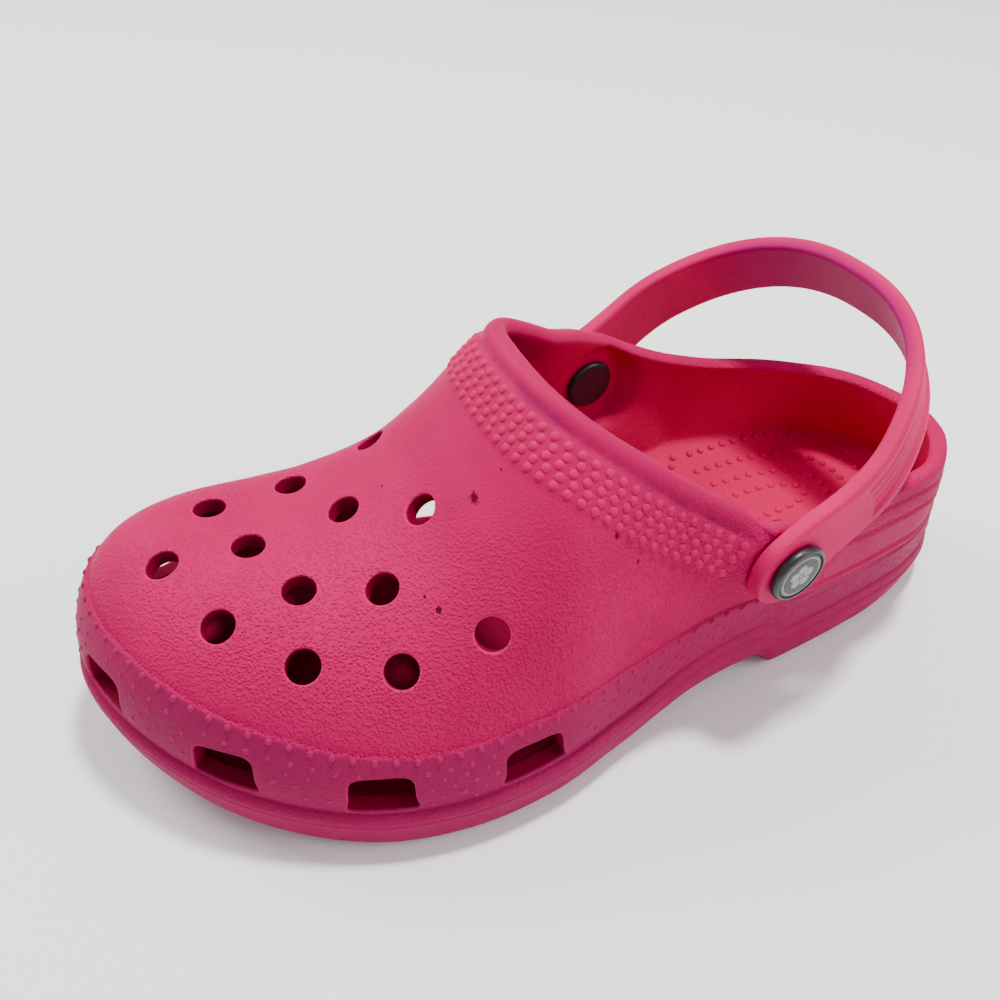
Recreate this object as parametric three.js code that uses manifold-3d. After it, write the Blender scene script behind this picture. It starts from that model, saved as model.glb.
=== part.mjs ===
// Moulded foam garden clog for the left foot, with a swinging heel strap on two snap rivets.
// Millimetres, +Z up. The toe points to -Y and the outer (lateral) side faces +X.
// The origin is on the ground, under the middle of the sole.
import * as THREE from 'three';
import { mergeVertices } from 'three/addons/utils/BufferGeometryUtils.js';
import Module from 'manifold-3d';

const wasm = await Module();
wasm.setup();

// ---------------------------------------------------------------- driving dimensions
const LENGTH = 267;            // sole, heel to toe
const WIDTH = 112.5;           // sole, across the ball of the foot
const INSTEP_HEIGHT = 104;     // ground to the peak of the collar
const HEEL_RIM_HEIGHT = 58;    // ground to the rim behind the heel
const WALL = 5;                // thickness of the moulded upper
const SOLE_BAND = 16.5;        // height of the smooth band round the sole
const LEDGE = 1.8;             // how far the band stands out from the upper
const TOE_SPRING = 11;         // lift of the tread under the toe
const ARCH_LIFT = 7.2;         // lift of the tread between ball and heel
const FOOTBED_BALL = 15.5;     // footbed above the ground under the ball
const FOOTBED_HEEL = 29;       // footbed above the ground under the heel
const CUP_BALL = 1.2;          // rise of the footbed to the wall under the ball
const CUP_HEEL = 7;            // the same under the heel

const HOLE_DIAMETER = 8.8;     // round vents on the vamp
const VENT_WIDTH = 18.6;       // side vents above the band
const VENT_HEIGHT = 12;
const VENT_PITCH = 40.3;       // along the edge of the sole
const VENT_LIFT = 0.6;         // bottom of a vent above the band

const RIVET_DIAMETER = 17.4;   // outer button
const RIVET_FLANGE = 2.4;
const SHANK_DIAMETER = 5.6;
const CAP_DIAMETER = 16.2;     // inner cap
const CAP_FLANGE = 1.8;
const CAP_TUBE_WALL = 1.2;
const BADGE_RIM = 1.6;          // rim of the button around its badge
const BADGE_DIAMETER = RIVET_DIAMETER - 2 * BADGE_RIM;
const BADGE_THICKNESS = 0.9;
const SEAT_MARGIN = 1.5;       // flat seat beyond the strap eye
const SEAT_LATERAL = new THREE.Vector3(36.2, 45.4, 55.2);
const SEAT_MEDIAL = new THREE.Vector3(-56.7, 29.9, 58.2);

const STRAP_THICKNESS = 4.8;
const STRAP_WIDTH = 20;
const STRAP_REACH = 72.5;      // hinge axis to the inside of the bow
const STRAP_STRAIGHT = 13;     // straight arm beyond the hinge axis
const STRAP_SPLAY = 2.4;       // how far each arm bows outwards beyond its eye
const EYE_DIAMETER = 24;
const STRAP_RAISE = 30;        // degrees above the ground at rest
const GAP = 0.3;               // between pieces that touch
const RUNNING_FIT = 0.4;       // radial, round the shank and the cap tube

// ---------------------------------------------------------------- shape of the last
// Plan outline of the upper where it meets the band, heel first, then the outer side, the toe and
// the inner side. Each point is [across / WIDTH, along / LENGTH].
const OUTLINE = [
  [-0.053, 0.500], [0.093, 0.476], [0.191, 0.412], [0.244, 0.318], [0.280, 0.217], [0.311, 0.112],
  [0.364, 0.011], [0.431, -0.082], [0.449, -0.180], [0.396, -0.281], [0.244, -0.390],
  [0.018, -0.468], [-0.213, -0.500], [-0.418, -0.470], [-0.529, -0.386], [-0.551, -0.277],
  [-0.511, -0.157], [-0.453, -0.030], [-0.418, 0.094], [-0.400, 0.225], [-0.364, 0.341],
  [-0.262, 0.436],
];
// Profiles along the clog: [along / LENGTH, value].
const RIDGE = [[-0.375, -17], [-0.225, -18], [-0.041, -20], [0.15, -12], [0.3, -7], [0.41, -6]];
const CROWN = [
  [-0.5, 64], [-0.41, 63], [-0.3, 61], [-0.255, 61.5], [-0.217, 64], [-0.161, 71], [-0.112, 83],
  [-0.041, INSTEP_HEIGHT], [0.019, INSTEP_HEIGHT + 8], [0.15, INSTEP_HEIGHT + 12],
];
const ROUNDNESS = [[-0.5, 3.3], [-0.337, 2.9], [-0.225, 2.7], [-0.112, 2.5], [0, 2.3]];
const INNER_ROUNDNESS = [[-0.5, 1.2], [-0.262, 1.1], [-0.112, 0.4], [0, 0]];
const TREAD = [
  [-0.5, TOE_SPRING], [-0.442, 0.68 * TOE_SPRING], [-0.375, 0.33 * TOE_SPRING], [-0.3, 0.6],
  [-0.255, 0], [0, 0], [0.052, 0.42 * ARCH_LIFT], [0.105, 0.86 * ARCH_LIFT], [0.172, ARCH_LIFT],
  [0.191, 0.89 * ARCH_LIFT], [0.214, 0], [0.48, 0], [0.5, 2],
];
const FLARE_OUTER = [[-0.5, 0], [0, 0], [0.11, 4], [0.17, 5.5], [0.3, 5], [0.39, 5], [0.45, 0], [0.5, -9]];
const FLARE_INNER = [
  [-0.5, 0], [-0.075, 0], [0.037, 7], [0.12, 11.5], [0.21, 8.5], [0.32, 4], [0.39, 0], [0.45, -4], [0.5, -9],
];
const RIM_OUTER = [
  [-0.075, INSTEP_HEIGHT + 3], [-0.041, INSTEP_HEIGHT - 2], [0.019, 0.875 * INSTEP_HEIGHT],
  [0.086, 0.74 * INSTEP_HEIGHT], [0.15, HEEL_RIM_HEIGHT + 8.5], [0.206, HEEL_RIM_HEIGHT + 4.5],
  [0.3, HEEL_RIM_HEIGHT + 0.5], [0.375, HEEL_RIM_HEIGHT],
];
const RIM_INNER = [
  [-0.075, INSTEP_HEIGHT + 3], [-0.041, INSTEP_HEIGHT - 2], [0.03, 0.865 * INSTEP_HEIGHT],
  [0.075, 0.79 * INSTEP_HEIGHT], [0.125, HEEL_RIM_HEIGHT + 16], [0.206, HEEL_RIM_HEIGHT + 6],
  [0.281, HEEL_RIM_HEIGHT + 1.5], [0.375, HEEL_RIM_HEIGHT],
];
const FOOTBED = [
  [-0.5, FOOTBED_BALL + 0.9 * TOE_SPRING], [-0.337, FOOTBED_BALL + 0.15 * TOE_SPRING],
  [-0.2, FOOTBED_BALL], [-0.02, FOOTBED_BALL + 2], [0.18, FOOTBED_HEEL - 1.5], [0.34, FOOTBED_HEEL],
];
const CUP = [[-0.2, CUP_BALL], [0, 0.6 * CUP_HEEL], [0.2, CUP_HEEL]];
const TOE_CENTRE = -0.315;     // where the toe starts to round off, along / LENGTH
const HEEL_CENTRE = 0.33;
const OPENING_CENTRE = [-8, 0.27 * LENGTH];
const FLARE_RISE = 40;         // height over which the flare grows to its full size

// Round vents, rows from the instep to the toe: [across / WIDTH, along / LENGTH].
const HOLES = [
  [-0.323, -0.169], [-0.009, -0.157], [0.297, -0.129],
  [-0.315, -0.258], [-0.136, -0.221], [0.114, -0.212], [0.294, -0.218],
  [-0.298, -0.343], [-0.126, -0.318], [0.031, -0.284], [0.220, -0.300],
  [-0.125, -0.399], [0.076, -0.364],
];
// Side vents, as steps of VENT_PITCH along the edge from the tip of the toe.
const VENT_STEPS = [-3.5, -2.5, -1.5, -0.45, 1.15, 2.15, 3.15];

// ---------------------------------------------------------------- mesh density
const RIBS = 76;
const OUTER_STEPS = 11;
const INNER_STEPS = 8;
const FLOOR_STEPS = 7;
const TREAD_STEPS = 12;
const DENSE = 160;
const STRAP_STEPS = 32;
const ROUND = 24;

// ---------------------------------------------------------------- helpers
const clamp = THREE.MathUtils.clamp;

// Monotone cubic through [station, value] pairs, flat beyond both ends.
function profile(table) {
  const x = table.map((p) => p[0] * LENGTH);
  const y = table.map((p) => p[1]);
  const last = x.length - 1;
  const slope = x.slice(1).map((v, i) => (y[i + 1] - y[i]) / (v - x[i]));
  const tangent = x.map((v, i) => {
    if (i === 0) return slope[0];
    if (i === last) return slope[last - 1];
    if (slope[i - 1] * slope[i] <= 0) return 0;
    return (2 * slope[i - 1] * slope[i]) / (slope[i - 1] + slope[i]);
  });
  return (v) => {
    if (v <= x[0]) return y[0];
    if (v >= x[last]) return y[last];
    let i = 0;
    while (v > x[i + 1]) i += 1;
    const span = x[i + 1] - x[i];
    const t = (v - x[i]) / span;
    const rest = 1 - t;
    return rest * rest * (1 + 2 * t) * y[i] + t * t * (3 - 2 * t) * y[i + 1]
      + t * rest * rest * span * tangent[i] - t * t * rest * span * tangent[i + 1];
  };
}

function smooth(t) {
  const c = clamp(t, 0, 1);
  return c * c * (3 - 2 * c);
}

function toSolid(geometry) {
  const bare = geometry.clone();
  bare.deleteAttribute('normal');
  bare.deleteAttribute('uv');
  const merged = mergeVertices(bare, 1e-4);
  return new wasm.Manifold(new wasm.Mesh({
    numProp: 3,
    vertProperties: new Float32Array(merged.attributes.position.array),
    triVerts: new Uint32Array(merged.index.array),
  }));
}

function toGeometry(solid) {
  const mesh = solid.getMesh();
  const geometry = new THREE.BufferGeometry();
  geometry.setAttribute('position', new THREE.BufferAttribute(new Float32Array(mesh.vertProperties), 3));
  geometry.setIndex(new THREE.BufferAttribute(new Uint32Array(mesh.triVerts), 1));
  return geometry;
}

// A frame whose Z runs along `axis`, with its X as near to `across` as it can be.
function frameAt(origin, axis, across = new THREE.Vector3(0, 0, 1)) {
  const z = axis.clone().normalize();
  const x = across.clone().addScaledVector(z, -across.dot(z)).normalize();
  const y = new THREE.Vector3().crossVectors(z, x);
  return new THREE.Matrix4().makeBasis(x, y, z).setPosition(origin);
}

// A round solid of revolution along the Z of `frame`: profile of [radius, height] from axis to axis.
function turned(points, frame, sides = ROUND) {
  const outline = points.map(([r, h]) => new THREE.Vector2(r, h));
  const lathe = new THREE.LatheGeometry(outline, sides);
  lathe.rotateX(Math.PI / 2);
  lathe.applyMatrix4(frame);
  return toSolid(lathe);
}

function disc(radius, from, to, frame, sides = ROUND) {
  return turned([[0, from], [radius, from], [radius, to], [0, to]], frame, sides);
}

// ---------------------------------------------------------------- plan and height of the upper
const ridgeX = profile(RIDGE);
const crownZ = profile(CROWN);
const roundness = profile(ROUNDNESS);
const innerRoundness = profile(INNER_ROUNDNESS);
const treadZ = profile(TREAD);
const flareOuter = profile(FLARE_OUTER);
const flareInner = profile(FLARE_INNER);
const rimOuter = profile(RIM_OUTER);
const rimInner = profile(RIM_INNER);
const footbedZ = profile(FOOTBED);
const cupRise = profile(CUP);
const baseZ = (y) => treadZ(y) + SOLE_BAND;

const edgeCurve = new THREE.CatmullRomCurve3(
  OUTLINE.map(([x, y]) => new THREE.Vector3(x * WIDTH, y * LENGTH, 0)),
  true,
  'catmullrom',
  0.5,
);
edgeCurve.arcLengthDivisions = 800;
const EDGE = edgeCurve.getSpacedPoints(800).slice(0, -1);
const EDGE_LENGTH = edgeCurve.getLength();

// Lists of [key, value] looked up with a straight line between neighbours.
function lookUp(pairs) {
  const sorted = pairs.slice().sort((a, b) => a[0] - b[0]);
  return (key) => {
    let low = 0;
    let high = sorted.length - 1;
    if (key <= sorted[low][0]) return sorted[low][1];
    if (key >= sorted[high][0]) return sorted[high][1];
    while (high - low > 1) {
      const mid = (low + high) >> 1;
      if (sorted[mid][0] <= key) low = mid;
      else high = mid;
    }
    const t = (key - sorted[low][0]) / (sorted[high][0] - sorted[low][0]);
    return sorted[low][1] + t * (sorted[high][1] - sorted[low][1]);
  };
}
const outerEdgeX = lookUp(EDGE.filter((p) => p.x > ridgeX(p.y)).map((p) => [p.y, p.x]));
const innerEdgeX = lookUp(EDGE.filter((p) => p.x <= ridgeX(p.y)).map((p) => [p.y, p.x]));

function roundEnd(station) {
  const y = station * LENGTH;
  const centre = [ridgeX(y), y];
  const polar = EDGE.map((p) => [
    Math.atan2(p.y - centre[1], p.x - centre[0]),
    Math.hypot(p.y - centre[1], p.x - centre[0]),
  ]);
  const wrapped = polar.concat(
    polar.map(([a, r]) => [a - 2 * Math.PI, r]),
    polar.map(([a, r]) => [a + 2 * Math.PI, r]),
  );
  const radius = lookUp(wrapped);
  return (x, v) => {
    const across = x - centre[0];
    const along = v - centre[1];
    return Math.hypot(across, along) / radius(Math.atan2(along, across));
  };
}
const toeEnd = roundEnd(TOE_CENTRE);
const heelEnd = roundEnd(HEEL_CENTRE);

// 0 on the ridge of the upper, 1 on the edge of the sole.
function edgeShare(x, y) {
  if (y < TOE_CENTRE * LENGTH) return toeEnd(x, y);
  if (y > HEEL_CENTRE * LENGTH) return heelEnd(x, y);
  const ridge = ridgeX(y);
  if (x > ridge) return (x - ridge) / (outerEdgeX(y) - ridge);
  return (ridge - x) / (ridge - innerEdgeX(y));
}

// Superelliptic vault from the band up to the crown.
function vaultZ(x, y) {
  const share = clamp(edgeShare(x, y), 0, 1);
  const power = roundness(y) + innerRoundness(y) * smooth((ridgeX(y) - x) / 30);
  const base = baseZ(y);
  return base + (crownZ(y) - base) * Math.sqrt(Math.max(0, 1 - share ** power));
}

function rimZ(x, y) {
  const outer = smooth((x - ridgeX(y)) / 30 + 0.5);
  return outer * rimOuter(y) + (1 - outer) * rimInner(y);
}

// Even steps along a polyline.
function evenSteps(points, count) {
  const lengths = [0];
  for (let i = 1; i < points.length; i += 1) lengths.push(lengths[i - 1] + points[i].distanceTo(points[i - 1]));
  const total = lengths[lengths.length - 1];
  const out = [];
  let i = 0;
  for (let k = 0; k < count; k += 1) {
    const at = (k / (count - 1)) * total;
    while (i < points.length - 2 && lengths[i + 1] < at) i += 1;
    const t = clamp((at - lengths[i]) / Math.max(lengths[i + 1] - lengths[i], 1e-9), 0, 1);
    out.push(points[i].clone().lerp(points[i + 1], t));
  }
  return out;
}

// ---------------------------------------------------------------- ribs of the body
// One rib runs from the middle of the foot opening to a point on the edge of the sole.
function ribAt(share) {
  const edge = edgeCurve.getPointAt(share);
  const tangent = edgeCurve.getTangentAt(share);
  const out = new THREE.Vector3(-tangent.y, tangent.x, 0);
  if (out.dot(new THREE.Vector3(edge.x - OPENING_CENTRE[0], edge.y - OPENING_CENTRE[1], 0)) < 0) out.negate();
  const outerSide = clamp((edge.x - ridgeX(edge.y)) / 12 + 0.5, 0, 1);
  const flare = outerSide * flareOuter(edge.y) + (1 - outerSide) * flareInner(edge.y);
  return { edge, out, flare };
}

function outerWall(rib) {
  const raw = [];
  for (let k = 0; k <= DENSE; k += 1) {
    const t = 1 - (k / DENSE) ** 2.2;
    const x = OPENING_CENTRE[0] + t * (rib.edge.x - OPENING_CENTRE[0]);
    const y = OPENING_CENTRE[1] + t * (rib.edge.y - OPENING_CENTRE[1]);
    const z = k === 0 ? baseZ(y) : vaultZ(x, y);
    const rim = rimZ(x, y);
    const point = new THREE.Vector3(x, y, z);
    if (z >= rim && k > 0) {
      const before = raw[raw.length - 1];
      const missing = rimZ(before.x, before.y) - before.z;
      raw.push(before.clone().lerp(point, missing / (missing + z - rim)));
      break;
    }
    raw.push(point);
  }
  const base = baseZ(rib.edge.y);
  return evenSteps(raw, DENSE).map((p) => p.addScaledVector(rib.out, rib.flare * smooth((p.z - base) / FLARE_RISE)));
}

function footbedAt(x, y) {
  const share = clamp(edgeShare(x, y), 0, 1);
  return footbedZ(y) + cupRise(y) * share ** 4;
}

function bodyRibs() {
  const ribs = [];
  for (let i = 0; i < RIBS; i += 1) ribs.push(ribAt(i / RIBS));
  const walls = ribs.map(outerWall);
  return ribs.map((rib, i) => {
    const wall = walls[i];
    const before = walls[(i + RIBS - 1) % RIBS];
    const after = walls[(i + 1) % RIBS];
    const inner = wall.map((p, k) => {
      const along = after[k].clone().sub(before[k]);
      const up = wall[Math.min(k + 3, DENSE - 1)].clone().sub(wall[Math.max(k - 3, 0)]);
      const normal = along.cross(up).normalize();
      if (normal.dot(rib.out) < -0.2 || (Math.abs(normal.dot(rib.out)) <= 0.2 && normal.z < 0)) normal.negate();
      return p.clone().addScaledVector(normal, -WALL);
    });
    // Down the inside to the footbed.
    const down = [];
    for (let k = DENSE - 1; k >= 0; k -= 1) {
      const p = inner[k];
      const floor = footbedAt(p.x, p.y);
      if (p.z <= floor && down.length > 1) break;
      down.push(p);
    }
    const foot = down[down.length - 1].clone();
    foot.z = footbedAt(foot.x, foot.y);
    down.push(foot);
    return { rib, outer: evenSteps(wall, OUTER_STEPS), inner: evenSteps(down, INNER_STEPS), foot };
  });
}

// Band round the sole, from the tread up to the upper: [out from the edge, height].
function bandAt(rib) {
  const { edge, out } = rib;
  const tread = treadZ(edge.y);
  const tuck = 4 * clamp((edge.y - 0.356 * LENGTH) / (0.15 * LENGTH), 0, 1);
  const steps = [
    [-4 - tuck, 0], [-1.2 - tuck, 1], [0.2 - 0.8 * tuck, 3.5], [1.2 - 0.4 * tuck, 8],
    [LEDGE, SOLE_BAND - 2], [0.5 * LEDGE, SOLE_BAND - 0.3],
  ];
  return steps.map(([push, height]) => edge.clone().addScaledVector(out, push).setZ(tread + height));
}

function moulding() {
  const vertices = [];
  const rings = [];
  const [cx, cy] = OPENING_CENTRE;
  const ribs = bodyRibs();
  ribs.forEach(({ rib, outer, inner, foot }) => {
    const line = [];
    const band = bandAt(rib);
    for (let k = 1; k < TREAD_STEPS; k += 1) {
      const x = cx + (k / TREAD_STEPS) * (band[0].x - cx);
      const y = cy + (k / TREAD_STEPS) * (band[0].y - cy);
      line.push(new THREE.Vector3(x, y, treadZ(y)));
    }
    line.push(...band, ...outer);
    const lip = outer[OUTER_STEPS - 1].clone().lerp(inner[0], 0.5);
    lip.z += 0.35 * WALL;
    line.push(lip, ...inner);
    for (let k = 1; k < FLOOR_STEPS; k += 1) {
      const x = foot.x + (k / FLOOR_STEPS) * (cx - foot.x);
      const y = foot.y + (k / FLOOR_STEPS) * (cy - foot.y);
      line.push(new THREE.Vector3(x, y, footbedAt(x, y)));
    }
    rings.push(line);
  });
  const columns = rings[0].length;
  rings.forEach((line) => line.forEach((p) => vertices.push(p.x, p.y, p.z)));
  const bottomPole = vertices.length / 3;
  vertices.push(cx, cy, treadZ(cy));
  const floorPole = bottomPole + 1;
  vertices.push(cx, cy, footbedAt(cx, cy));
  const index = [];
  for (let i = 0; i < RIBS; i += 1) {
    const a = i * columns;
    const b = ((i + 1) % RIBS) * columns;
    index.push(bottomPole, a, b, floorPole, b + columns - 1, a + columns - 1);
    for (let k = 0; k < columns - 1; k += 1) {
      index.push(a + k, b + k + 1, b + k, a + k, a + k + 1, b + k + 1);
    }
  }
  const geometry = new THREE.BufferGeometry();
  geometry.setAttribute('position', new THREE.Float32BufferAttribute(vertices, 3));
  geometry.setIndex(index);
  return toSolid(geometry);
}

// ---------------------------------------------------------------- hinge of the strap
const hingeAxis = SEAT_LATERAL.clone().sub(SEAT_MEDIAL).normalize();
const hingeCentre = SEAT_LATERAL.clone().add(SEAT_MEDIAL).multiplyScalar(0.5);
const seatSpan = SEAT_LATERAL.distanceTo(SEAT_MEDIAL) / 2;
const eyeRadius = EYE_DIAMETER / 2;
const seatRadius = eyeRadius + SEAT_MARGIN;
const tubeRadius = SHANK_DIAMETER / 2 + RUNNING_FIT + CAP_TUBE_WALL;
const boreRadius = tubeRadius + RUNNING_FIT;

// Frame on one seat: Z points out of the clog along the hinge axis.
function seatFrame(side) {
  const origin = hingeCentre.clone().addScaledVector(hingeAxis, side * seatSpan);
  return frameAt(origin, hingeAxis.clone().multiplyScalar(side));
}

// ---------------------------------------------------------------- cutters
function surfacePoint(x, y) {
  return new THREE.Vector3(x, y, vaultZ(x, y));
}

function roundVent([across, along]) {
  const x = across * WIDTH;
  const y = along * LENGTH;
  const step = 1.5;
  const slopeX = surfacePoint(x + step, y).sub(surfacePoint(x - step, y));
  const slopeY = surfacePoint(x, y + step).sub(surfacePoint(x, y - step));
  const normal = slopeX.cross(slopeY).normalize();
  return disc(HOLE_DIAMETER / 2, -2.4 * WALL, WALL, frameAt(surfacePoint(x, y), normal), 16);
}

const TIP_SHARE = (() => {
  let best = 0;
  for (let k = 0; k < EDGE.length; k += 1) {
    if (EDGE[k].y < EDGE[best].y) best = k;
  }
  return best / EDGE.length;
})();

function sideVent(step) {
  const share = (TIP_SHARE + (step * VENT_PITCH) / EDGE_LENGTH + 1) % 1;
  const { edge, out } = ribAt(share);
  const half = VENT_WIDTH / 2;
  const top = 0.74 * half;
  const corner = 2.5;
  const shape = new THREE.Shape();
  shape.moveTo(-half, 0);
  shape.lineTo(half, 0);
  shape.lineTo(top + 0.6, VENT_HEIGHT - corner);
  shape.quadraticCurveTo(top, VENT_HEIGHT, top - corner, VENT_HEIGHT);
  shape.lineTo(corner - top, VENT_HEIGHT);
  shape.quadraticCurveTo(-top, VENT_HEIGHT, -top - 0.6, VENT_HEIGHT - corner);
  shape.closePath();
  const depth = 3.2 * WALL;
  const slab = new THREE.ExtrudeGeometry(shape, { depth, bevelEnabled: false, curveSegments: 3 });
  slab.translate(0, 0, -0.7 * depth);
  const up = new THREE.Vector3(0, 0, 1);
  const across = new THREE.Vector3().crossVectors(up, out);
  slab.applyMatrix4(new THREE.Matrix4().makeBasis(across, up, out).setPosition(
    edge.x,
    edge.y,
    baseZ(edge.y) + VENT_LIFT,
  ));
  return toSolid(slab);
}

// ---------------------------------------------------------------- parts
function clogBody() {
  let body = moulding();
  for (const side of [1, -1]) {
    const frame = seatFrame(side);
    body = body.add(disc(CAP_DIAMETER / 2 + 1, -WALL, -0.5, frame));
    body = body.subtract(disc(seatRadius, 0, 12, frame, 32));
    body = body.subtract(disc(CAP_DIAMETER / 2 + 0.8, -WALL - 9, -WALL, frame));
    body = body.subtract(disc(boreRadius, -WALL - 2, 2, frame, 16));
  }
  for (const hole of HOLES) body = body.subtract(roundVent(hole));
  for (const step of VENT_STEPS) body = body.subtract(sideVent(step));
  return body;
}

// Middle line of the strap in its own plane: [across, away from the hinge].
function strapPath() {
  const half = seatSpan + GAP + STRAP_THICKNESS / 2;
  const reach = STRAP_REACH + STRAP_THICKNESS / 2 - STRAP_STRAIGHT;
  const arm = (away) => half + STRAP_SPLAY * smooth((away - 0.7 * STRAP_STRAIGHT) / (0.4 * STRAP_REACH));
  const middle = 0.5 * STRAP_STRAIGHT;
  const points = [new THREE.Vector2(half, 0), new THREE.Vector2(arm(middle), middle)];
  for (let k = 0; k <= STRAP_STEPS; k += 1) {
    const angle = (k / STRAP_STEPS) * Math.PI;
    const across = Math.sign(Math.cos(angle)) * Math.abs(Math.cos(angle)) ** (2 / 2.35);
    const away = STRAP_STRAIGHT + reach * Math.max(0, Math.sin(angle)) ** (2 / 1.95);
    points.push(new THREE.Vector2(arm(away) * across, away));
  }
  points.push(new THREE.Vector2(-arm(middle), middle), new THREE.Vector2(-half, 0));
  return points;
}

function strapFrame() {
  const back = new THREE.Vector3(0, 1, 0).addScaledVector(hingeAxis, -hingeAxis.y).normalize();
  const up = new THREE.Vector3().crossVectors(hingeAxis, back);
  const raise = THREE.MathUtils.degToRad(STRAP_RAISE);
  const away = back.multiplyScalar(Math.cos(raise)).addScaledVector(up, Math.sin(raise));
  const broad = new THREE.Vector3().crossVectors(hingeAxis, away);
  return new THREE.Matrix4().makeBasis(hingeAxis, away, broad).setPosition(hingeCentre);
}

function heelStrap() {
  const path = strapPath();
  const frame = strapFrame();
  const vertices = [];
  const index = [];
  const t = STRAP_THICKNESS / 2;
  const w = STRAP_WIDTH / 2;
  const c = 1.3;
  const section = [[t, c - w], [t, w - c], [t - c, w], [c - t, w], [-t, w - c], [-t, c - w], [c - t, -w], [t - c, -w]];
  path.forEach((p, k) => {
    const ahead = path[Math.min(k + 1, path.length - 1)].clone().sub(path[Math.max(k - 1, 0)]).normalize();
    const out = new THREE.Vector2(ahead.y, -ahead.x);
    for (const [push, height] of section) {
      const v = new THREE.Vector3(p.x + push * out.x, p.y + push * out.y, height).applyMatrix4(frame);
      vertices.push(v.x, v.y, v.z);
    }
  });
  const sides = section.length;
  for (let k = 0; k < path.length - 1; k += 1) {
    for (let j = 0; j < sides; j += 1) {
      const a = k * sides + j;
      const b = k * sides + ((j + 1) % sides);
      index.push(a, a + sides, b + sides, a, b + sides, b);
    }
  }
  const end = (path.length - 1) * sides;
  for (let j = 1; j < sides - 1; j += 1) index.push(0, j, j + 1, end, end + j + 1, end + j);
  const ribbon = new THREE.BufferGeometry();
  ribbon.setAttribute('position', new THREE.Float32BufferAttribute(vertices, 3));
  ribbon.setIndex(index);
  let strap = toSolid(ribbon);
  for (const side of [1, -1]) {
    const seat = seatFrame(side);
    strap = strap.add(disc(eyeRadius, GAP, GAP + STRAP_THICKNESS, seat, 32));
    strap = strap.subtract(disc(SHANK_DIAMETER / 2 + RUNNING_FIT, -5, 12, seat, 16));
  }
  return strap;
}

// Heights below are measured outwards from the seat.
const flangeFrom = GAP + STRAP_THICKNESS + GAP;
const flangeTo = flangeFrom + RIVET_FLANGE;

function rivetButton(side) {
  const r = RIVET_DIAMETER / 2;
  const shank = SHANK_DIAMETER / 2;
  const pocket = BADGE_DIAMETER / 2 + GAP;
  const floor = flangeTo - BADGE_THICKNESS - GAP;
  return turned([
    [0, 1.2 - WALL], [shank - 0.6, 1.2 - WALL], [shank, 1.8 - WALL], [shank, flangeFrom], [r - 0.5, flangeFrom],
    [r, flangeFrom + 0.5], [r, flangeTo - 0.8], [r - 0.6, flangeTo], [pocket, flangeTo], [pocket, floor], [0, floor],
  ], seatFrame(side));
}

function rivetBadge(side) {
  const r = BADGE_DIAMETER / 2;
  return disc(r, flangeTo - BADGE_THICKNESS, flangeTo, seatFrame(side));
}

function rivetCap(side) {
  const r = CAP_DIAMETER / 2;
  const face = -WALL - GAP;
  const back = face - CAP_FLANGE;
  const socket = SHANK_DIAMETER / 2 + RUNNING_FIT;
  return turned([
    [0, back], [r - 1, back], [r, back + 0.8], [r, face], [tubeRadius, face], [tubeRadius, -GAP],
    [socket, -GAP], [socket, 1.2 - WALL - GAP], [0, 1.2 - WALL - GAP],
  ], seatFrame(side));
}

// ---------------------------------------------------------------- materials and assembly
const FOAM = new THREE.MeshStandardMaterial({ color: 0xd81b60, roughness: 0.62, metalness: 0 });
const STRAP_FOAM = new THREE.MeshStandardMaterial({ color: 0xd01c62, roughness: 0.6, metalness: 0 });
const BLACK_PLASTIC = new THREE.MeshStandardMaterial({ color: 0x1c1a1b, roughness: 0.35, metalness: 0 });
const BADGE_PRINT = new THREE.MeshStandardMaterial({ color: 0x9ea3a5, roughness: 0.4, metalness: 0.3 });

const clog = new THREE.Group();

function addPart(name, solid, material) {
  const mesh = new THREE.Mesh(toGeometry(solid), material);
  mesh.name = name;
  clog.add(mesh);
}

// Put the origin on the ground under the middle of the whole part.
function settle() {
  const box = new THREE.Box3().setFromObject(clog);
  const middle = box.getCenter(new THREE.Vector3());
  clog.children.forEach((mesh) => mesh.geometry.translate(-middle.x, -middle.y, -box.min.z));
}

addPart('clog_body', clogBody(), FOAM);
addPart('heel_strap', heelStrap(), STRAP_FOAM);
for (const [side, place] of [[1, 'lateral'], [-1, 'medial']]) {
  addPart(`rivet_button_${place}`, rivetButton(side), BLACK_PLASTIC);
  addPart(`rivet_cap_${place}`, rivetCap(side), BLACK_PLASTIC);
  addPart(`rivet_badge_${place}`, rivetBadge(side), BADGE_PRINT);
}
settle();

export default clog;
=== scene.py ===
"""Moulded foam garden clog for the left foot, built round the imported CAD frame.

Shapes are worked out in millimetres on numpy grids in the maker's own frame, and moved into the
row frame (metres) when a mesh is made. The toe points to -Y and the outer side faces +X.
"""

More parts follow.
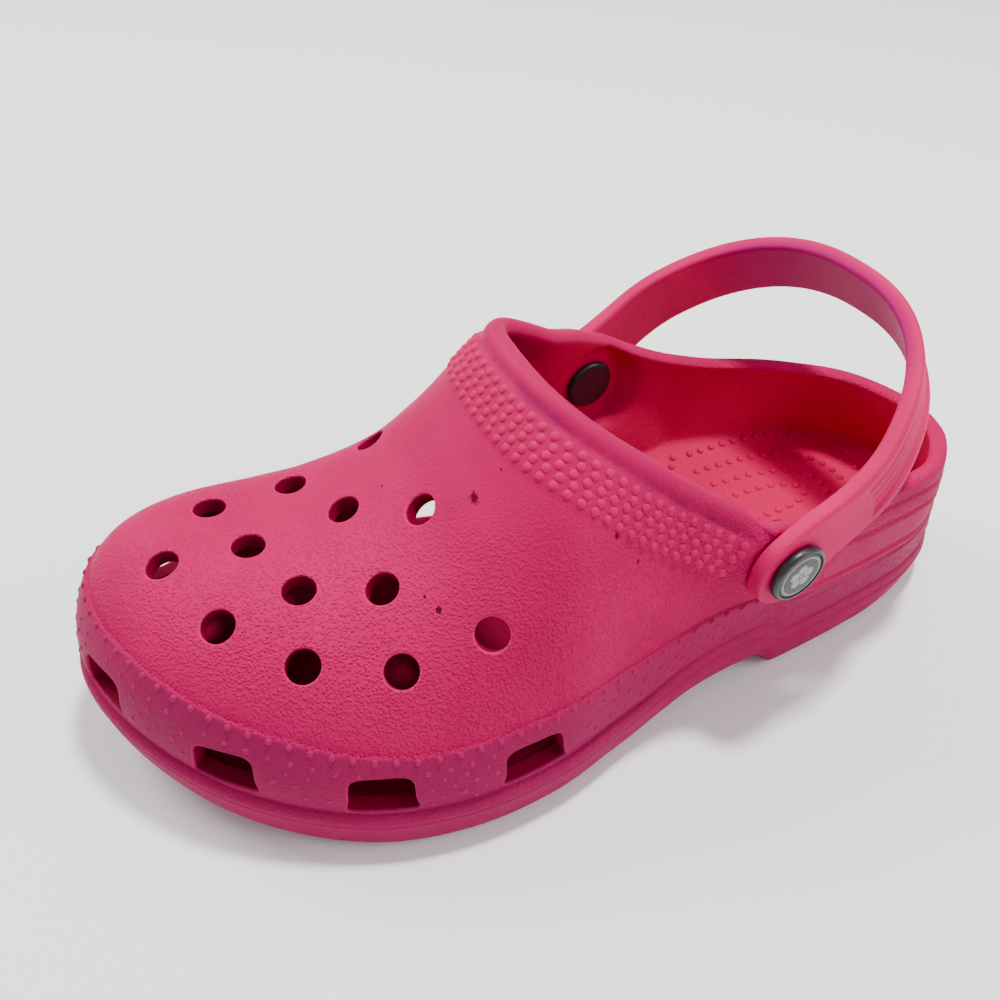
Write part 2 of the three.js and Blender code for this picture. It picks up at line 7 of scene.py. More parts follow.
import bpy
import numpy as np
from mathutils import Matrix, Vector


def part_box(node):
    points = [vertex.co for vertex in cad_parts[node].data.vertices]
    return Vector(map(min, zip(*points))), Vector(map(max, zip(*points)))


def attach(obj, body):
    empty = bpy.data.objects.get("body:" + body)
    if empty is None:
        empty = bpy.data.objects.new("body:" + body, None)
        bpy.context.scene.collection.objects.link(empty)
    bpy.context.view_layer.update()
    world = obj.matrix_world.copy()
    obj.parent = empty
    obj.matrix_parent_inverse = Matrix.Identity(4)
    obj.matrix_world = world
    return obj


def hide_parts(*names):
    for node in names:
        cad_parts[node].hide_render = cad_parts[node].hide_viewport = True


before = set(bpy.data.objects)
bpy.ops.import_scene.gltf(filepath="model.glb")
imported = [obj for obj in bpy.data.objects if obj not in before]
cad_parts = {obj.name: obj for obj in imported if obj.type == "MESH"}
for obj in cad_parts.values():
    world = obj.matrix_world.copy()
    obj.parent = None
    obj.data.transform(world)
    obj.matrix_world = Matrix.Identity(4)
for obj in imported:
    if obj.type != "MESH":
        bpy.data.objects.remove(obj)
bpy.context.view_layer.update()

# ------------------------------------------------------------------ sizes, in millimetres
LENGTH, WIDTH = 267.0, 112.5
PEAK = 104.0          # ground to the peak of the collar
WALL = 5.0
BAND = 16.5           # smooth band round the sole
LEDGE = 1.8
OUTLINE = [
    (-0.053, 0.500), (0.093, 0.476), (0.191, 0.412), (0.244, 0.318), (0.280, 0.217), (0.311, 0.112),
    (0.364, 0.011), (0.431, -0.082), (0.449, -0.180), (0.396, -0.281), (0.244, -0.390),
    (0.018, -0.468), (-0.213, -0.500), (-0.418, -0.470), (-0.529, -0.386), (-0.551, -0.277),
    (-0.511, -0.157), (-0.453, -0.030), (-0.418, 0.094), (-0.400, 0.225), (-0.364, 0.341),
    (-0.262, 0.436)]
RIDGE = [(-100, -17), (-60, -18), (-11, -20), (40, -12), (80, -7), (110, -6)]
CROWN = [(-133.5, 64), (-109.5, 63), (-80, 61), (-68, 61.5), (-58, 64), (-43, 71), (-30, 83),
         (-11, PEAK), (5, PEAK + 8), (40, PEAK + 12)]
ROUNDNESS = [(-133.5, 3.3), (-90, 2.9), (-60, 2.7), (-30, 2.5), (0, 2.3)]
INNER_ROUNDNESS = [(-133.5, 1.2), (-70, 1.1), (-30, 0.4), (0, 0)]
TREAD = [(-133.5, 11), (-118, 7.5), (-100, 3.6), (-80, 0.6), (-68, 0), (0, 0), (14, 3), (28, 6.2),
         (46, 7.2), (51, 6.4), (57, 0), (128, 0), (133.5, 2)]
FLARE_OUTER = [(-133.5, 0), (0, 0), (30, 4), (45, 5.5), (80, 5), (104, 5), (120, 0), (133.5, -9)]
FLARE_INNER = [(-133.5, 0), (-20, 0), (10, 7), (32, 11.5), (56, 8.5), (85, 4), (104, 0), (120, -4),
               (133.5, -9)]
RIM_OUTER = [(-20, 107), (-11, 102), (5, 91), (23, 77), (40, 66.5), (55, 62.5), (80, 58.5),
             (100, 58)]
RIM_INNER = [(-20, 107), (-11, 102), (8, 90), (20, 82), (33, 74), (55, 64), (75, 59.5), (100, 58)]
FOOTBED = [(-133.5, 25.4), (-90, 17.1), (-53, 15.5), (-5, 17.5), (48, 27.5), (91, 29)]
CUP = [(-53, 0.5), (0, 4), (53, 7)]
RAND = [(-133.5, 23.5), (-110, 22.3), (-95, 21.4), (-80, 19.8), (-60, 18.8), (-35, 19.8), (0, 18.5),
        (20, 17.3), (50, 15), (133, 12)]      # height of the textured rand above the band
TOE_CENTRE, HEEL_CENTRE = -84.0, 88.0
POLE = np.array([-8.0, 72.0])                 # middle of the foot opening
HOLES = [(-38.4, -44.6), (-0.6, -41.8), (35.0, -36.0), (-35.3, -69.0), (-16.0, -58.7),
         (13.3, -56.9), (32.4, -58.5), (-33.5, -91.6), (-14.4, -84.7), (4.7, -76.0),
         (23.2, -80.3), (-16.2, -106.7), (7.2, -97.1)]
HOLE_RADIUS = 4.4
VENTS = [-141.0, -100.5, -60.2, -18.5, 46.0, 86.5, 127.0]     # along the edge, from the toe's tip
VENT_HALF_WIDTH, VENT_HEIGHT = 9.3, 12.0

SEAT_OUTER = np.array([36.2, 45.4, 55.2])
SEAT_INNER = np.array([-56.7, 29.9, 58.2])
AXIS = (SEAT_OUTER - SEAT_INNER) / np.linalg.norm(SEAT_OUTER - SEAT_INNER)
HINGE = (SEAT_OUTER + SEAT_INNER) / 2
SPAN = np.linalg.norm(SEAT_OUTER - SEAT_INNER) / 2
STRAP_THICK, STRAP_HALF_WIDTH, EYE_RADIUS = 4.8, 10.0, 12.0
STRAP_REACH, STRAP_STRAIGHT, STRAP_SPLAY, STRAP_RAISE = 72.5, 13.0, 2.4, np.radians(30)
GAP = 0.3

# The CAD puts its origin under the middle of the part, so the maker's frame is moved to match it.
badge_boxes = [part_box(name) for name in ("rivet_badge_lateral", "rivet_badge_medial")]
SHIFT = np.mean([np.array(lo + hi) / 2 for lo, hi in badge_boxes], axis=0) * 1000 - HINGE


# ------------------------------------------------------------------ small tools
def monotone(table):
    """Smooth curve through (station, value) pairs that never overshoots, flat beyond both ends."""
    x, y = np.array(table, float).T
    slope = np.diff(y) / np.diff(x)
    a, b = slope[:-1], slope[1:]
    both = a + b
    inner = np.where(a * b > 0, 2 * a * b / np.where(both == 0, 1, both), 0)
    m = np.r_[slope[0], inner, slope[-1]]

    def at(v):
        v = np.clip(v, x[0], x[-1])
        i = np.clip(np.searchsorted(x, v, side="right") - 1, 0, len(x) - 2)
        h = x[i + 1] - x[i]
        t = (v - x[i]) / h
        r = 1 - t
        return (r * r * (1 + 2 * t) * y[i] + t * t * (3 - 2 * t) * y[i + 1]
                + h * (t * r * r * m[i] - t * t * r * m[i + 1]))
    return at


def ease(t):
    """Smooth step from 0 to 1 as t goes from 0 to 1."""
    t = np.clip(t, 0, 1)
    return t * t * (3 - 2 * t)


def bell(v, centre, width):
    """Bell curve of height 1 round a centre."""
    return np.exp(-((v - centre) / width) ** 2)


def unit(v):
    return v / np.maximum(np.linalg.norm(v, axis=-1, keepdims=True), 1e-9)


def run_along(line):
    """Distance run along one polyline or many, from the first point of each."""
    steps = np.linalg.norm(np.diff(line, axis=-2), axis=-1)
    return np.concatenate([np.zeros(steps.shape[:-1] + (1,)), np.cumsum(steps, axis=-1)], -1)


def read_line(at, run, line):
    """Points of one polyline at given distances along it."""
    return np.stack([np.interp(at, run, line[:, j]) for j in range(line.shape[1])], -1)


def ring_of(turn, u, v):
    """Unit circle in the plane of u and v."""
    return np.cos(turn)[..., None] * u + np.sin(turn)[..., None] * v


ridge, crown = monotone(RIDGE), monotone(CROWN)
roundness, inner_roundness = monotone(ROUNDNESS), monotone(INNER_ROUNDNESS)
tread, footbed, cup, rand_height = monotone(TREAD), monotone(FOOTBED), monotone(CUP), monotone(RAND)
flare_outer, flare_inner = monotone(FLARE_OUTER), monotone(FLARE_INNER)
rim_outer, rim_inner = monotone(RIM_OUTER), monotone(RIM_INNER)


def base(y):
    return tread(y) + BAND


# ------------------------------------------------------------------ plan outline of the upper
def closed_curve(points, steps):
    """Closed Catmull-Rom curve: a cubic between neighbours, with slopes of half their span."""
    p = np.array(points, float)
    a, b, c, d = np.roll(p, 1, 0), p, np.roll(p, -1, 0), np.roll(p, -2, 0)
    t = np.linspace(0, 1, steps, endpoint=False)[None, :, None]
    a, b, c, d = (q[:, None, :] for q in (a, b, c, d))
    curve = 0.5 * (2 * b + (c - a) * t + (2 * a - 5 * b + 4 * c - d) * t ** 2
                   + (3 * b - a - 3 * c + d) * t ** 3)
    return curve.reshape(-1, p.shape[1])


EDGE = closed_curve([(x * WIDTH, y * LENGTH) for x, y in OUTLINE], 50)
EDGE_LOOP = np.vstack([EDGE, EDGE[:1]])
EDGE_RUN = run_along(EDGE_LOOP)
EDGE_LENGTH = EDGE_RUN[-1]
TIP_RUN = EDGE_RUN[np.argmin(EDGE[:, 1])]


def edge_at(run):
    """Point on the outline at a distance along it, and the direction out of the clog there."""
    def point(r):
        return read_line(np.mod(r, EDGE_LENGTH), EDGE_RUN, EDGE_LOOP)
    tangent = unit(point(run + 1.5) - point(run - 1.5))
    return point(run), np.stack([-tangent[..., 1], tangent[..., 0]], -1)


def round_end(yc):
    """Distance from a round end's centre as a share of the outline's, by direction."""
    centre = np.array([ridge(yc), yc])
    v = EDGE - centre
    angle, radius = np.arctan2(v[:, 1], v[:, 0]), np.hypot(*v.T)
    order = np.argsort(angle)
    angle, radius = angle[order], radius[order]

    def share(x, y):
        a, b = x - centre[0], y - centre[1]
        return np.hypot(a, b) / np.interp(np.arctan2(b, a), angle, radius, period=2 * np.pi)
    return share


toe_end, heel_end = round_end(TOE_CENTRE), round_end(HEEL_CENTRE)
_outer_side = EDGE[EDGE[:, 0] > ridge(EDGE[:, 1])]
_inner_side = EDGE[EDGE[:, 0] <= ridge(EDGE[:, 1])]
_outer_side = _outer_side[np.argsort(_outer_side[:, 1])]
_inner_side = _inner_side[np.argsort(_inner_side[:, 1])]


def edge_share(x, y):
    """0 on the ridge of the upper and 1 on the edge of the sole."""
    r = ridge(y)
    outer = np.interp(y, _outer_side[:, 1], _outer_side[:, 0]) - r
    inner = r - np.interp(y, _inner_side[:, 1], _inner_side[:, 0])
    share = np.where(x > r, (x - r) / outer, (r - x) / inner)
    share = np.where(y < TOE_CENTRE, toe_end(x, y), share)
    return np.where(y > HEEL_CENTRE, heel_end(x, y), share)


def vault(x, y):
    """Superelliptic vault: band height plus crown height times sqrt(1 - share to a power)."""
    share = np.clip(edge_share(x, y), 0, 1)
    power = roundness(y) + inner_roundness(y) * ease((ridge(y) - x) / 30)
    return base(y) + (crown(y) - base(y)) * np.sqrt(np.clip(1 - share ** power, 0, 1))


def rim_height(x, y):
    outer = ease((x - ridge(y)) / 30 + 0.5)
    return outer * rim_outer(y) + (1 - outer) * rim_inner(y)


def footbed_height(x, y):
    share = np.clip(edge_share(x, y), 0, 1)
    return footbed(y) + cup(y) * share ** 4


def along_each(run, line, at):
    """Points at given distances along many polylines at once: run and line are (ribs, points)."""
    shift = np.arange(len(run))[:, None] * 1000.0
    flat_run, flat_at = (run + shift).ravel(), (at + shift).ravel()
    return np.stack([np.interp(flat_at, flat_run, line[..., j].ravel()).reshape(at.shape)
                     for j in range(line.shape[-1])], -1)


# ------------------------------------------------------------------ sheets and bores through them
class Sheet:
    """A grid of points, closed along its first side, with carried values after x, y, z."""

    def __init__(self, grid):
        self.grid = grid

    def at(self, a, b):
        """Bilinear reading of the grid at fractional places a (round) and b (up)."""
        n, m = self.grid.shape[:2]
        b = np.clip(b, 0, m - 1.0001)
        a = np.mod(a, n)
        i, k = np.floor(a).astype(int) % n, np.floor(b).astype(int)
        s, t = (a - np.floor(a))[..., None], (b - k)[..., None]
        j = (i + 1) % n
        g = self.grid
        return ((1 - s) * (1 - t) * g[i, k] + s * (1 - t) * g[j, k]
                + (1 - s) * t * g[i, k + 1] + s * t * g[j, k + 1])

    def slopes(self, a, b, h=0.5):
        da = (self.at(a + h, b) - self.at(a - h, b))[..., :3] / (2 * h)
        lo, hi = np.clip(b - h, 0, None), np.clip(b + h, None, self.grid.shape[1] - 1.001)
        db = (self.at(a, hi) - self.at(a, lo))[..., :3] / (hi - lo)[..., None]
        return da, db

    def find(self, centre, e1, e2, x, y, a, b):
        """Fractional grid place whose point lies at (x, y) in the plane of e1 and e2 (Newton)."""
        a, b = np.broadcast_to(a, x.shape).astype(float), np.broadcast_to(b, x.shape).astype(float)
        for _ in range(12):
            p = self.at(a, b)[..., :3] - centre
            da, db = self.slopes(a, b)
            r1, r2 = p @ e1 - x, p @ e2 - y
            j11, j12, j21, j22 = da @ e1, db @ e1, da @ e2, db @ e2
            det = j11 * j22 - j12 * j21
            det = np.where(np.abs(det) < 1e-6, 1e-6, det)
            a = a - np.clip((j22 * r1 - j12 * r2) / det, -1.5, 1.5)
            b = b - np.clip((j11 * r2 - j21 * r1) / det, -1.5, 1.5)
            b = np.clip(b, 0, self.grid.shape[1] - 1.001)
        return a, b


def block_edge(ha, hb):
    """Grid steps round the edge of a block, anticlockwise from its low corner."""
    low, right = np.arange(-ha, ha), np.arange(-hb, hb)
    da = np.r_[low, np.full(2 * hb, ha), -low, np.full(2 * hb, -ha)]
    db = np.r_[np.full(2 * ha, -hb), right, np.full(2 * ha, hb), -right]
    return da, db


class Build:
    """Collects vertices with their carried values, and faces, for one mesh."""

    def __init__(self):
        self.points, self.faces, self.count = [], [], 0

    def add(self, points):
        points = np.asarray(points, float)
        flat = points.reshape(-1, points.shape[-1])
        index = self.count + np.arange(len(flat)).reshape(points.shape[:-1])
        self.points.append(flat)
        self.count += len(flat)
        return index

    def quads(self, a, b, c, d):
        self.faces.append(np.stack([np.ravel(v) for v in (a, b, c, d)], -1))

    def rings(self, rings):
        """Closed rings of vertex numbers joined one to the next."""
        for low, high in zip(rings[:-1], rings[1:]):
            self.quads(low, high, np.roll(high, -1), np.roll(low, -1))

    def done(self):
        return np.concatenate(self.points), np.concatenate(self.faces)

    def fan(self, ring, pole, flip=False):
        nxt = np.roll(ring, -1)
        pole = np.full_like(ring, pole)
        parts = (ring, nxt, pole, pole) if flip else (nxt, ring, pole, pole)
        self.faces.append(np.stack(parts, -1))


def bore(build, front, back, fid, bid, fc, bc, halves, centre, e1, e2, shape, fillet):
    """Cuts a hole through two sheets: square rings of the grid turn step by step into the hole's
    outline, which rounds over into a straight wall along the third direction.
    fid, bid: vertex numbers of the sheets; fc, bc: whole grid places of the block's middle."""
    ha, hb = halves
    da, db = block_edge(ha, hb)
    s, t = da / ha, db / hb
    x, y = shape(s, t)
    outline = np.stack([x, y], -1)
    tangent = unit(np.roll(outline, -1, 0) - np.roll(outline, 1, 0))
    inward = np.stack([-tangent[:, 1], tangent[:, 0]], -1)
    inward3 = inward[:, :1] * e1 + inward[:, 1:] * e2
    e3 = np.cross(e1, e2)
    n = front.grid.shape[0]

    def to_outline(sheet, place, grow):
        gx, gy = x - grow * inward[:, 0], y - grow * inward[:, 1]
        a, b = sheet.find(centre, e1, e2, gx, gy, place[0] + 0.5 * da, place[1] + 0.5 * db)
        a = place[0] + (a - place[0] + n / 2) % n - n / 2
        rim_a, rim_b = place[0] + da, place[1] + db
        return [sheet.at(rim_a + w * (a - rim_a), rim_b + w * (b - rim_b))
                for w in (0.3, 0.58, 0.82, 1.0)]

    outside = to_outline(front, fc, fillet)
    inside = to_outline(back, bc, 0.5 * fillet)
    top, bottom = outside[-1], inside[-1]
    down = -np.sign(((top - bottom)[:, :3] @ e3).mean()) * e3

    def rounded(start, sign, size):
        rows = []
        for turn in np.radians((30, 60, 90)):
            row = start.copy()
            row[:, :3] += size * (np.sin(turn) * inward3 + (1 - np.cos(turn)) * sign * down)
            row[:, 6] = 1.0 if size == fillet else 0.3
            rows.append(row)
        return rows

    upper, lower = rounded(top, 1, fillet), rounded(bottom, -1, 0.5 * fillet)[::-1]
    wall = [upper[-1] + w * (lower[0] - upper[-1]) for w in (0.12, 0.5, 0.9)]
    for row in wall:
        # The bore wall counts 0.8 as inside, so it takes the inside's crimson and, towards the toe,
        # the painted shade.
        row[:, 5], row[:, 6] = 0.8, 0.0
    rings = [fid[(fc[0] + da) % n, fc[1] + db]]
    for row in outside + upper + wall + lower + inside[::-1]:
        rings.append(build.add(row))
    rings.append(bid[(bc[0] + da) % n, bc[1] + db])
    build.rings(rings)


def round_outline(radius):
    def shape(s, t):
        f = 1 / np.hypot(s, t)
        return radius * s * f, radius * t * f
    return shape


def vent_outline(s, t):
    """Rounded trapezoid: straight foot, sides that lean in from it, round shoulders."""
    power = np.where(t > 0, 4.5, 14.0)
    f = (np.abs(s) ** power + np.abs(t) ** power) ** (-1 / power)
    up = 0.5 + 0.5 * t * f
    half = VENT_HALF_WIDTH * (1 - 0.08 * ease(up * 2.2) - 0.04 * up)
    return s * f * half, VENT_HEIGHT * (up - 0.5)


# ------------------------------------------------------------------ mesh making
VALUES = ("rand", "stain", "inside", "edge")


def make_mesh(name, points, faces, material, values=()):
    """Numpy points (millimetres, maker's frame) and faces to a Blender mesh in the row frame. A
    face of four corners whose last two are the same is a triangle."""
    points, faces = np.asarray(points, float), np.asarray(faces)
    used, place = np.unique(faces, return_inverse=True)
    faces, points = place.reshape(faces.shape), points[used]
    mesh = bpy.data.meshes.new(name)
    co = (points[:, :3] + SHIFT) / 1000
    tri = faces[:, 2] == faces[:, 3]
    sizes = np.where(tri, 3, 4)
    used_corner = np.ones(faces.shape, bool)
    used_corner[:, 3] = ~tri
    loops = faces[used_corner]
    mesh.vertices.add(len(co))
    mesh.vertices.foreach_set("co", co.astype(np.float32).ravel())
    mesh.loops.add(len(loops))
    mesh.loops.foreach_set("vertex_index", loops.astype(np.int32))
    mesh.polygons.add(len(sizes))
    mesh.polygons.foreach_set("loop_start", np.r_[0, np.cumsum(sizes)[:-1]].astype(np.int32))
    mesh.polygons.foreach_set("use_smooth", np.full(len(sizes), True))
    mesh.update(calc_edges=True)
    mesh.validate()
    for j, label in enumerate(values):
        layer = mesh.attributes.new(label, "FLOAT", "POINT")
        layer.data.foreach_set("value", points[:, 3 + j].astype(np.float32))
    mesh.materials.append(material)
    obj = bpy.data.objects.new(name, mesh)
    bpy.context.scene.collection.objects.link(obj)
    return obj


def domes(places, normals, radius, height, sides=8):
    """Low round bumps: on each place, rings of radius cos(turn) and height sin(turn) about the
    normal, sunk a little into the surface. radius and height may differ from bump to bump."""
    n = unit(normals)
    helper = np.where(np.abs(n[:, 2:3]) < 0.9, [[0, 0, 1.0]], [[1.0, 0, 0]])
    u = unit(np.cross(helper, n))
    v = np.cross(n, u)
    radius = np.broadcast_to(radius, len(places))[:, None]
    height = np.broadcast_to(height, len(places))[:, None]
    turn = np.arange(sides) / sides * 2 * np.pi
    rows = []
    for r, h in ((1.08, -0.5), (0.93, 0.3), (0.62, 0.78), (0.25, 0.98)):
        circle = ring_of(turn[None], u[:, None], v[:, None])
        rows.append(places[:, None] + (radius * r)[..., None] * circle
                    + (height * h)[..., None] * n[:, None])
    rows.append(places[:, None] + height[..., None] * n[:, None])
    points = np.concatenate(rows, axis=1)
    count, per = len(places), 4 * sides + 1
    j = np.arange(sides)
    k = (j + 1) % sides
    faces = [np.stack([j + r * sides, k + r * sides, k + (r + 1) * sides, j + (r + 1) * sides], -1)
             for r in range(3)]
    tip = np.full(sides, per - 1)
    faces.append(np.stack([j + 3 * sides, k + 3 * sides, tip, tip], -1))
    faces = np.concatenate(faces)
    faces = (faces[None] + np.arange(count)[:, None, None] * per).reshape(-1, 4)
    return points.reshape(-1, 3), faces


# ------------------------------------------------------------------ materials
def node_group(name, inputs, outputs):
    group = bpy.data.node_groups.new(name, "ShaderNodeTree")
    for label, kind, value in inputs:
        socket = group.interface.new_socket(label, in_out="INPUT", socket_type=kind)
        if value is not None:
            socket.default_value = value
    for label, kind in outputs:
        group.interface.new_socket(label, in_out="OUTPUT", socket_type=kind)
    return group, group.nodes.new("NodeGroupInput"), group.nodes.new("NodeGroupOutput")


def node(tree, kind, inputs=None, **settings):
    made = tree.nodes.new(kind)
    for key, value in settings.items():
        setattr(made, key, value)
    for key, value in (inputs or {}).items():
        if isinstance(value, bpy.types.NodeSocket):
            tree.links.new(value, made.inputs[key])
        else:
            made.inputs[key].default_value = value
    return made


def maths(tree, operation, a, b=0.0, clamp=False):
    made = node(tree, "ShaderNodeMath", {0: a, 1: b}, operation=operation, use_clamp=clamp)
    return made.outputs[0]


def times(tree, a, b, clamp=False):
    return maths(tree, "MULTIPLY", a, b, clamp)


def vector_maths(tree, operation, inputs, output=0):
    return node(tree, "ShaderNodeVectorMath", inputs, operation=operation).outputs[output]


def noise(tree, place, scale, detail, roughness=0.5):
    return node(tree, "ShaderNodeTexNoise", {"Vector": place, "Scale": scale, "Detail": detail,
                                             "Roughness": roughness}).outputs


def object_place(tree):
    return node(tree, "ShaderNodeTexCoord").outputs["Object"]


def add_bump(tree, principled, height, strength, distance):
    """Bump of a height map on a finished material, with its depth in metres."""
    made = node(tree, "ShaderNodeBump", {"Height": height, "Strength": strength,
                                         "Distance": distance})
    tree.links.new(made.outputs[0], principled.inputs["Normal"])


def blend_colour(tree, share, a, b):
    return node(tree, "ShaderNodeMix", {0: share, 6: a, 7: b}, data_type="RGBA").outputs[2]


def grade(tree, value, low, high, to_low=0.0, to_high=1.0):
    made = node(tree, "ShaderNodeMapRange", {"Value": value, "From Min": low, "From Max": high,
                                             "To Min": to_low, "To Max": to_high})
    return made.outputs[0]


def build_foam_grain():
    """Moulded foam skin: fine rounded pebbles of a millimetre, broken by soft noise. Gives a height
    and a slow mottle from Object coordinates."""
    group, _, out = node_group("foam_grain", [],
                               [("Height", "NodeSocketFloat"), ("Mottle", "NodeSocketFloat")])
    place = object_place(group)
    warp = noise(group, place, 900.0, 1.0)["Color"]
    push = vector_maths(group, "SCALE", {0: warp, "Scale": 0.0007})
    bent = vector_maths(group, "ADD", {0: place, 1: push})
    cells = node(group, "ShaderNodeTexVoronoi",
                 {"Vector": bent, "Scale": 1150.0, "Smoothness": 0.25}, feature="SMOOTH_F1")
    pebbles = grade(group, cells.outputs["Distance"], 0.0, 0.62, 1.0, 0.0)
    fine = noise(group, place, 2600.0, 2.0)["Fac"]
    height = maths(group, "ADD", pebbles, times(group, fine, 0.35))
    slow = noise(group, place, 22.0, 3.0, 0.55)["Fac"]
    group.links.new(height, out.inputs["Height"])
    group.links.new(slow, out.inputs["Mottle"])
    return group


FOAM_GRAIN = build_foam_grain()


def build_nicks(marks):
    """Small torn nicks in the skin: 1 inside a ragged blot round each mark (x, y, z, half length in
    millimetres of the maker's frame)."""
    group, _, out = node_group("skin_nicks", [], [("Mask", "NodeSocketFloat")])
    place = object_place(group)
    rough = grade(group, noise(group, place, 1300.0, 2.0, 0.8)["Fac"], 0.3, 0.7, -0.75, 0.75)
    total = None
    for x, y, z, size in marks:
        spot = (np.array([x, y, z]) + SHIFT) / 1000
        away = vector_maths(group, "SUBTRACT", {0: place, 1: tuple(spot)})
        shape = (1000 / size, 1700 / size, 800 / size)
        turned = vector_maths(group, "MULTIPLY", {0: away, 1: shape})
        far = vector_maths(group, "LENGTH", {0: turned}, "Value")
        mask = grade(group, maths(group, "ADD", far, rough), 0.55, 0.95, 1.0, 0.0)
        total = mask if total is None else maths(group, "MAXIMUM", total, mask)
    group.links.new(total, out.inputs["Mask"])
    return group


def shader(name, roughness=0.5, specular=0.5):
    material = bpy.data.materials.new(name)
    material.use_nodes = True
    tree = material.node_tree
    principled = tree.nodes["Principled BSDF"]
    principled.inputs["Roughness"].default_value = roughness
    principled.inputs["Specular IOR Level"].default_value = specular
    return material, tree, principled


def carried(tree, label):
    return node(tree, "ShaderNodeAttribute", attribute_name=label).outputs["Fac"]


HOT_PINK = (0.500, 0.0004, 0.092, 1)
DEEP_PINK = (0.370, 0.0004, 0.064, 1)
MAUVE = (0.285, 0.0060, 0.072, 1)
CRIMSON = (0.560, 0.0008, 0.072, 1)
PALE_PINK = (0.720, 0.0400, 0.200, 1)
LIP_BAND_DARK = (0.230, 0.0060, 0.075, 1)
# Painted shade: the dark red laid inside the clog towards the toe, under the vamp.
PAINTED_TOE_SHADE = (0.110, 0.0002, 0.010, 1)
NICK_DARK = (0.05, 0.0, 0.006, 1)
NICKS = [(9.0, -30.5, 78.8, 1.5), (30.4, -1.6, 74.7, 0.9), (33.1, 3.6, 66.4, 0.6),
         (25.0, -46.0, 60.6, 1.0), (20.5, -48.1, 62.0, 0.55), (-15.7, -47.7, 68.3, 0.45),
         (9.2, -23.4, 86.0, 0.4)]


def foam_body():
    """Crimson pink foam: grain and slow mottle, painted light making it lighter higher up, mauve
    worn rand, a patchy darker band below the lip, redder inside with painted shade deepening inside
    towards the toe, pale where an edge was cut."""
    material, tree, principled = shader("pink_foam", 0.55, 0.05)
    grain = node(tree, "ShaderNodeGroup", node_tree=FOAM_GRAIN)
    place = object_place(tree)
    axes = node(tree, "ShaderNodeSeparateXYZ", {0: place})
    mottle = grain.outputs["Mottle"]
    top = grade(tree, axes.outputs["Z"], 0.030, 0.062)
    skin = blend_colour(tree, grade(tree, mottle, 0.35, 0.68), DEEP_PINK, HOT_PINK)
    # Painted light: higher up the clog the skin is mixed towards the lighter pink, as if lit from
    # above.
    skin = blend_colour(tree, times(tree, top, 0.35), skin, HOT_PINK)
    worn = grade(tree, mottle, 0.32, 0.62, 0.62, 1.0)
    skin = blend_colour(tree, times(tree, carried(tree, "rand"), worn), skin, MAUVE)
    scuff = noise(tree, place, 120.0, 5.0, 0.7)["Fac"]
    patchy = grade(tree, scuff, 0.38, 0.62)
    # A darker, patchy mauve band below the lip.
    stained = times(tree, carried(tree, "stain"), times(tree, patchy, 0.75))
    skin = blend_colour(tree, stained, skin, LIP_BAND_DARK)
    skin = blend_colour(tree, times(tree, carried(tree, "inside"), 0.85), skin, CRIMSON)
    # Painted shade: the footbed and the inner walls darken towards the toe, where the vamp shades
    # them.
    painted_toe_shade = carried(tree, "inside"), grade(tree, axes.outputs["Y"], 0.022, -0.018, 0.0, 0.80)
    skin = blend_colour(tree, times(tree, *painted_toe_shade), skin, PAINTED_TOE_SHADE)
    skin = blend_colour(tree, times(tree, carried(tree, "edge"), 0.30), skin, PALE_PINK)
    nicks = node(tree, "ShaderNodeGroup", node_tree=build_nicks(NICKS)).outputs["Mask"]
    skin = blend_colour(tree, times(tree, nicks, 0.85), skin, NICK_DARK)
    tree.links.new(skin, principled.inputs["Base Color"])
    outside = maths(tree, "SUBTRACT", 1.0, carried(tree, "inside"), True)
    plain = maths(tree, "SUBTRACT", 1.0, times(tree, carried(tree, "rand"), 0.75), True)
    amount = times(tree, outside, plain)
    patch = noise(tree, place, 16.0, 1.0)["Fac"]
    low = grade(tree, axes.outputs["Z"], 0.088, 0.060, 0.15, 1.0)
    strong = times(tree, low, grade(tree, patch, 0.30, 0.60, 0.45, 1.0))
    height = times(tree, grain.outputs["Height"],
                   times(tree, grade(tree, amount, 0, 1, 0.22, 1.0), strong))
    height = maths(tree, "SUBTRACT", height, times(tree, nicks, 2.0))
    add_bump(tree, principled, height, 1.0, 0.00038)
    tree.links.new(grade(tree, scuff, 0.3, 0.7, 0.46, 0.60), principled.inputs["Roughness"])
    return material


def foam_plain(name, light, dark, bump_strength=0.3, painted_sheen=None):
    """Smoother foam of the strap and the bumps: the same grain, weaker, with a slow mottle."""
    material, tree, principled = shader(name, 0.55, 0.08)
    grain = node(tree, "ShaderNodeGroup", node_tree=FOAM_GRAIN)
    skin = blend_colour(tree, grade(tree, grain.outputs["Mottle"], 0.35, 0.68), dark, light)
    # Painted sheen: on the strap a purple tint, standing in for a reflection, is laid where the
    # carried value says.
    if painted_sheen:
        stained = times(tree, carried(tree, "stain"), 1.0, True)
        skin = blend_colour(tree, stained, skin, painted_sheen)
    tree.links.new(skin, principled.inputs["Base Color"])
    add_bump(tree, principled, grain.outputs["Height"], bump_strength, 0.00018)
    return material


def black_plastic():
    """Black moulded plastic with a faint fine grain and dusty patches."""
    material, tree, principled = shader("black_plastic", 0.35, 0.5)
    place = object_place(tree)
    dust = noise(tree, place, 450.0, 4.0, 0.7)["Fac"]
    tone = blend_colour(tree, grade(tree, dust, 0.45, 0.75), (0.010, 0.009, 0.010, 1),
                        (0.030, 0.026, 0.028, 1))
    tree.links.new(tone, principled.inputs["Base Color"])
    tree.links.new(grade(tree, dust, 0.3, 0.7, 0.28, 0.45), principled.inputs["Roughness"])
    add_bump(tree, principled, dust, 0.15, 0.0001)
    return material


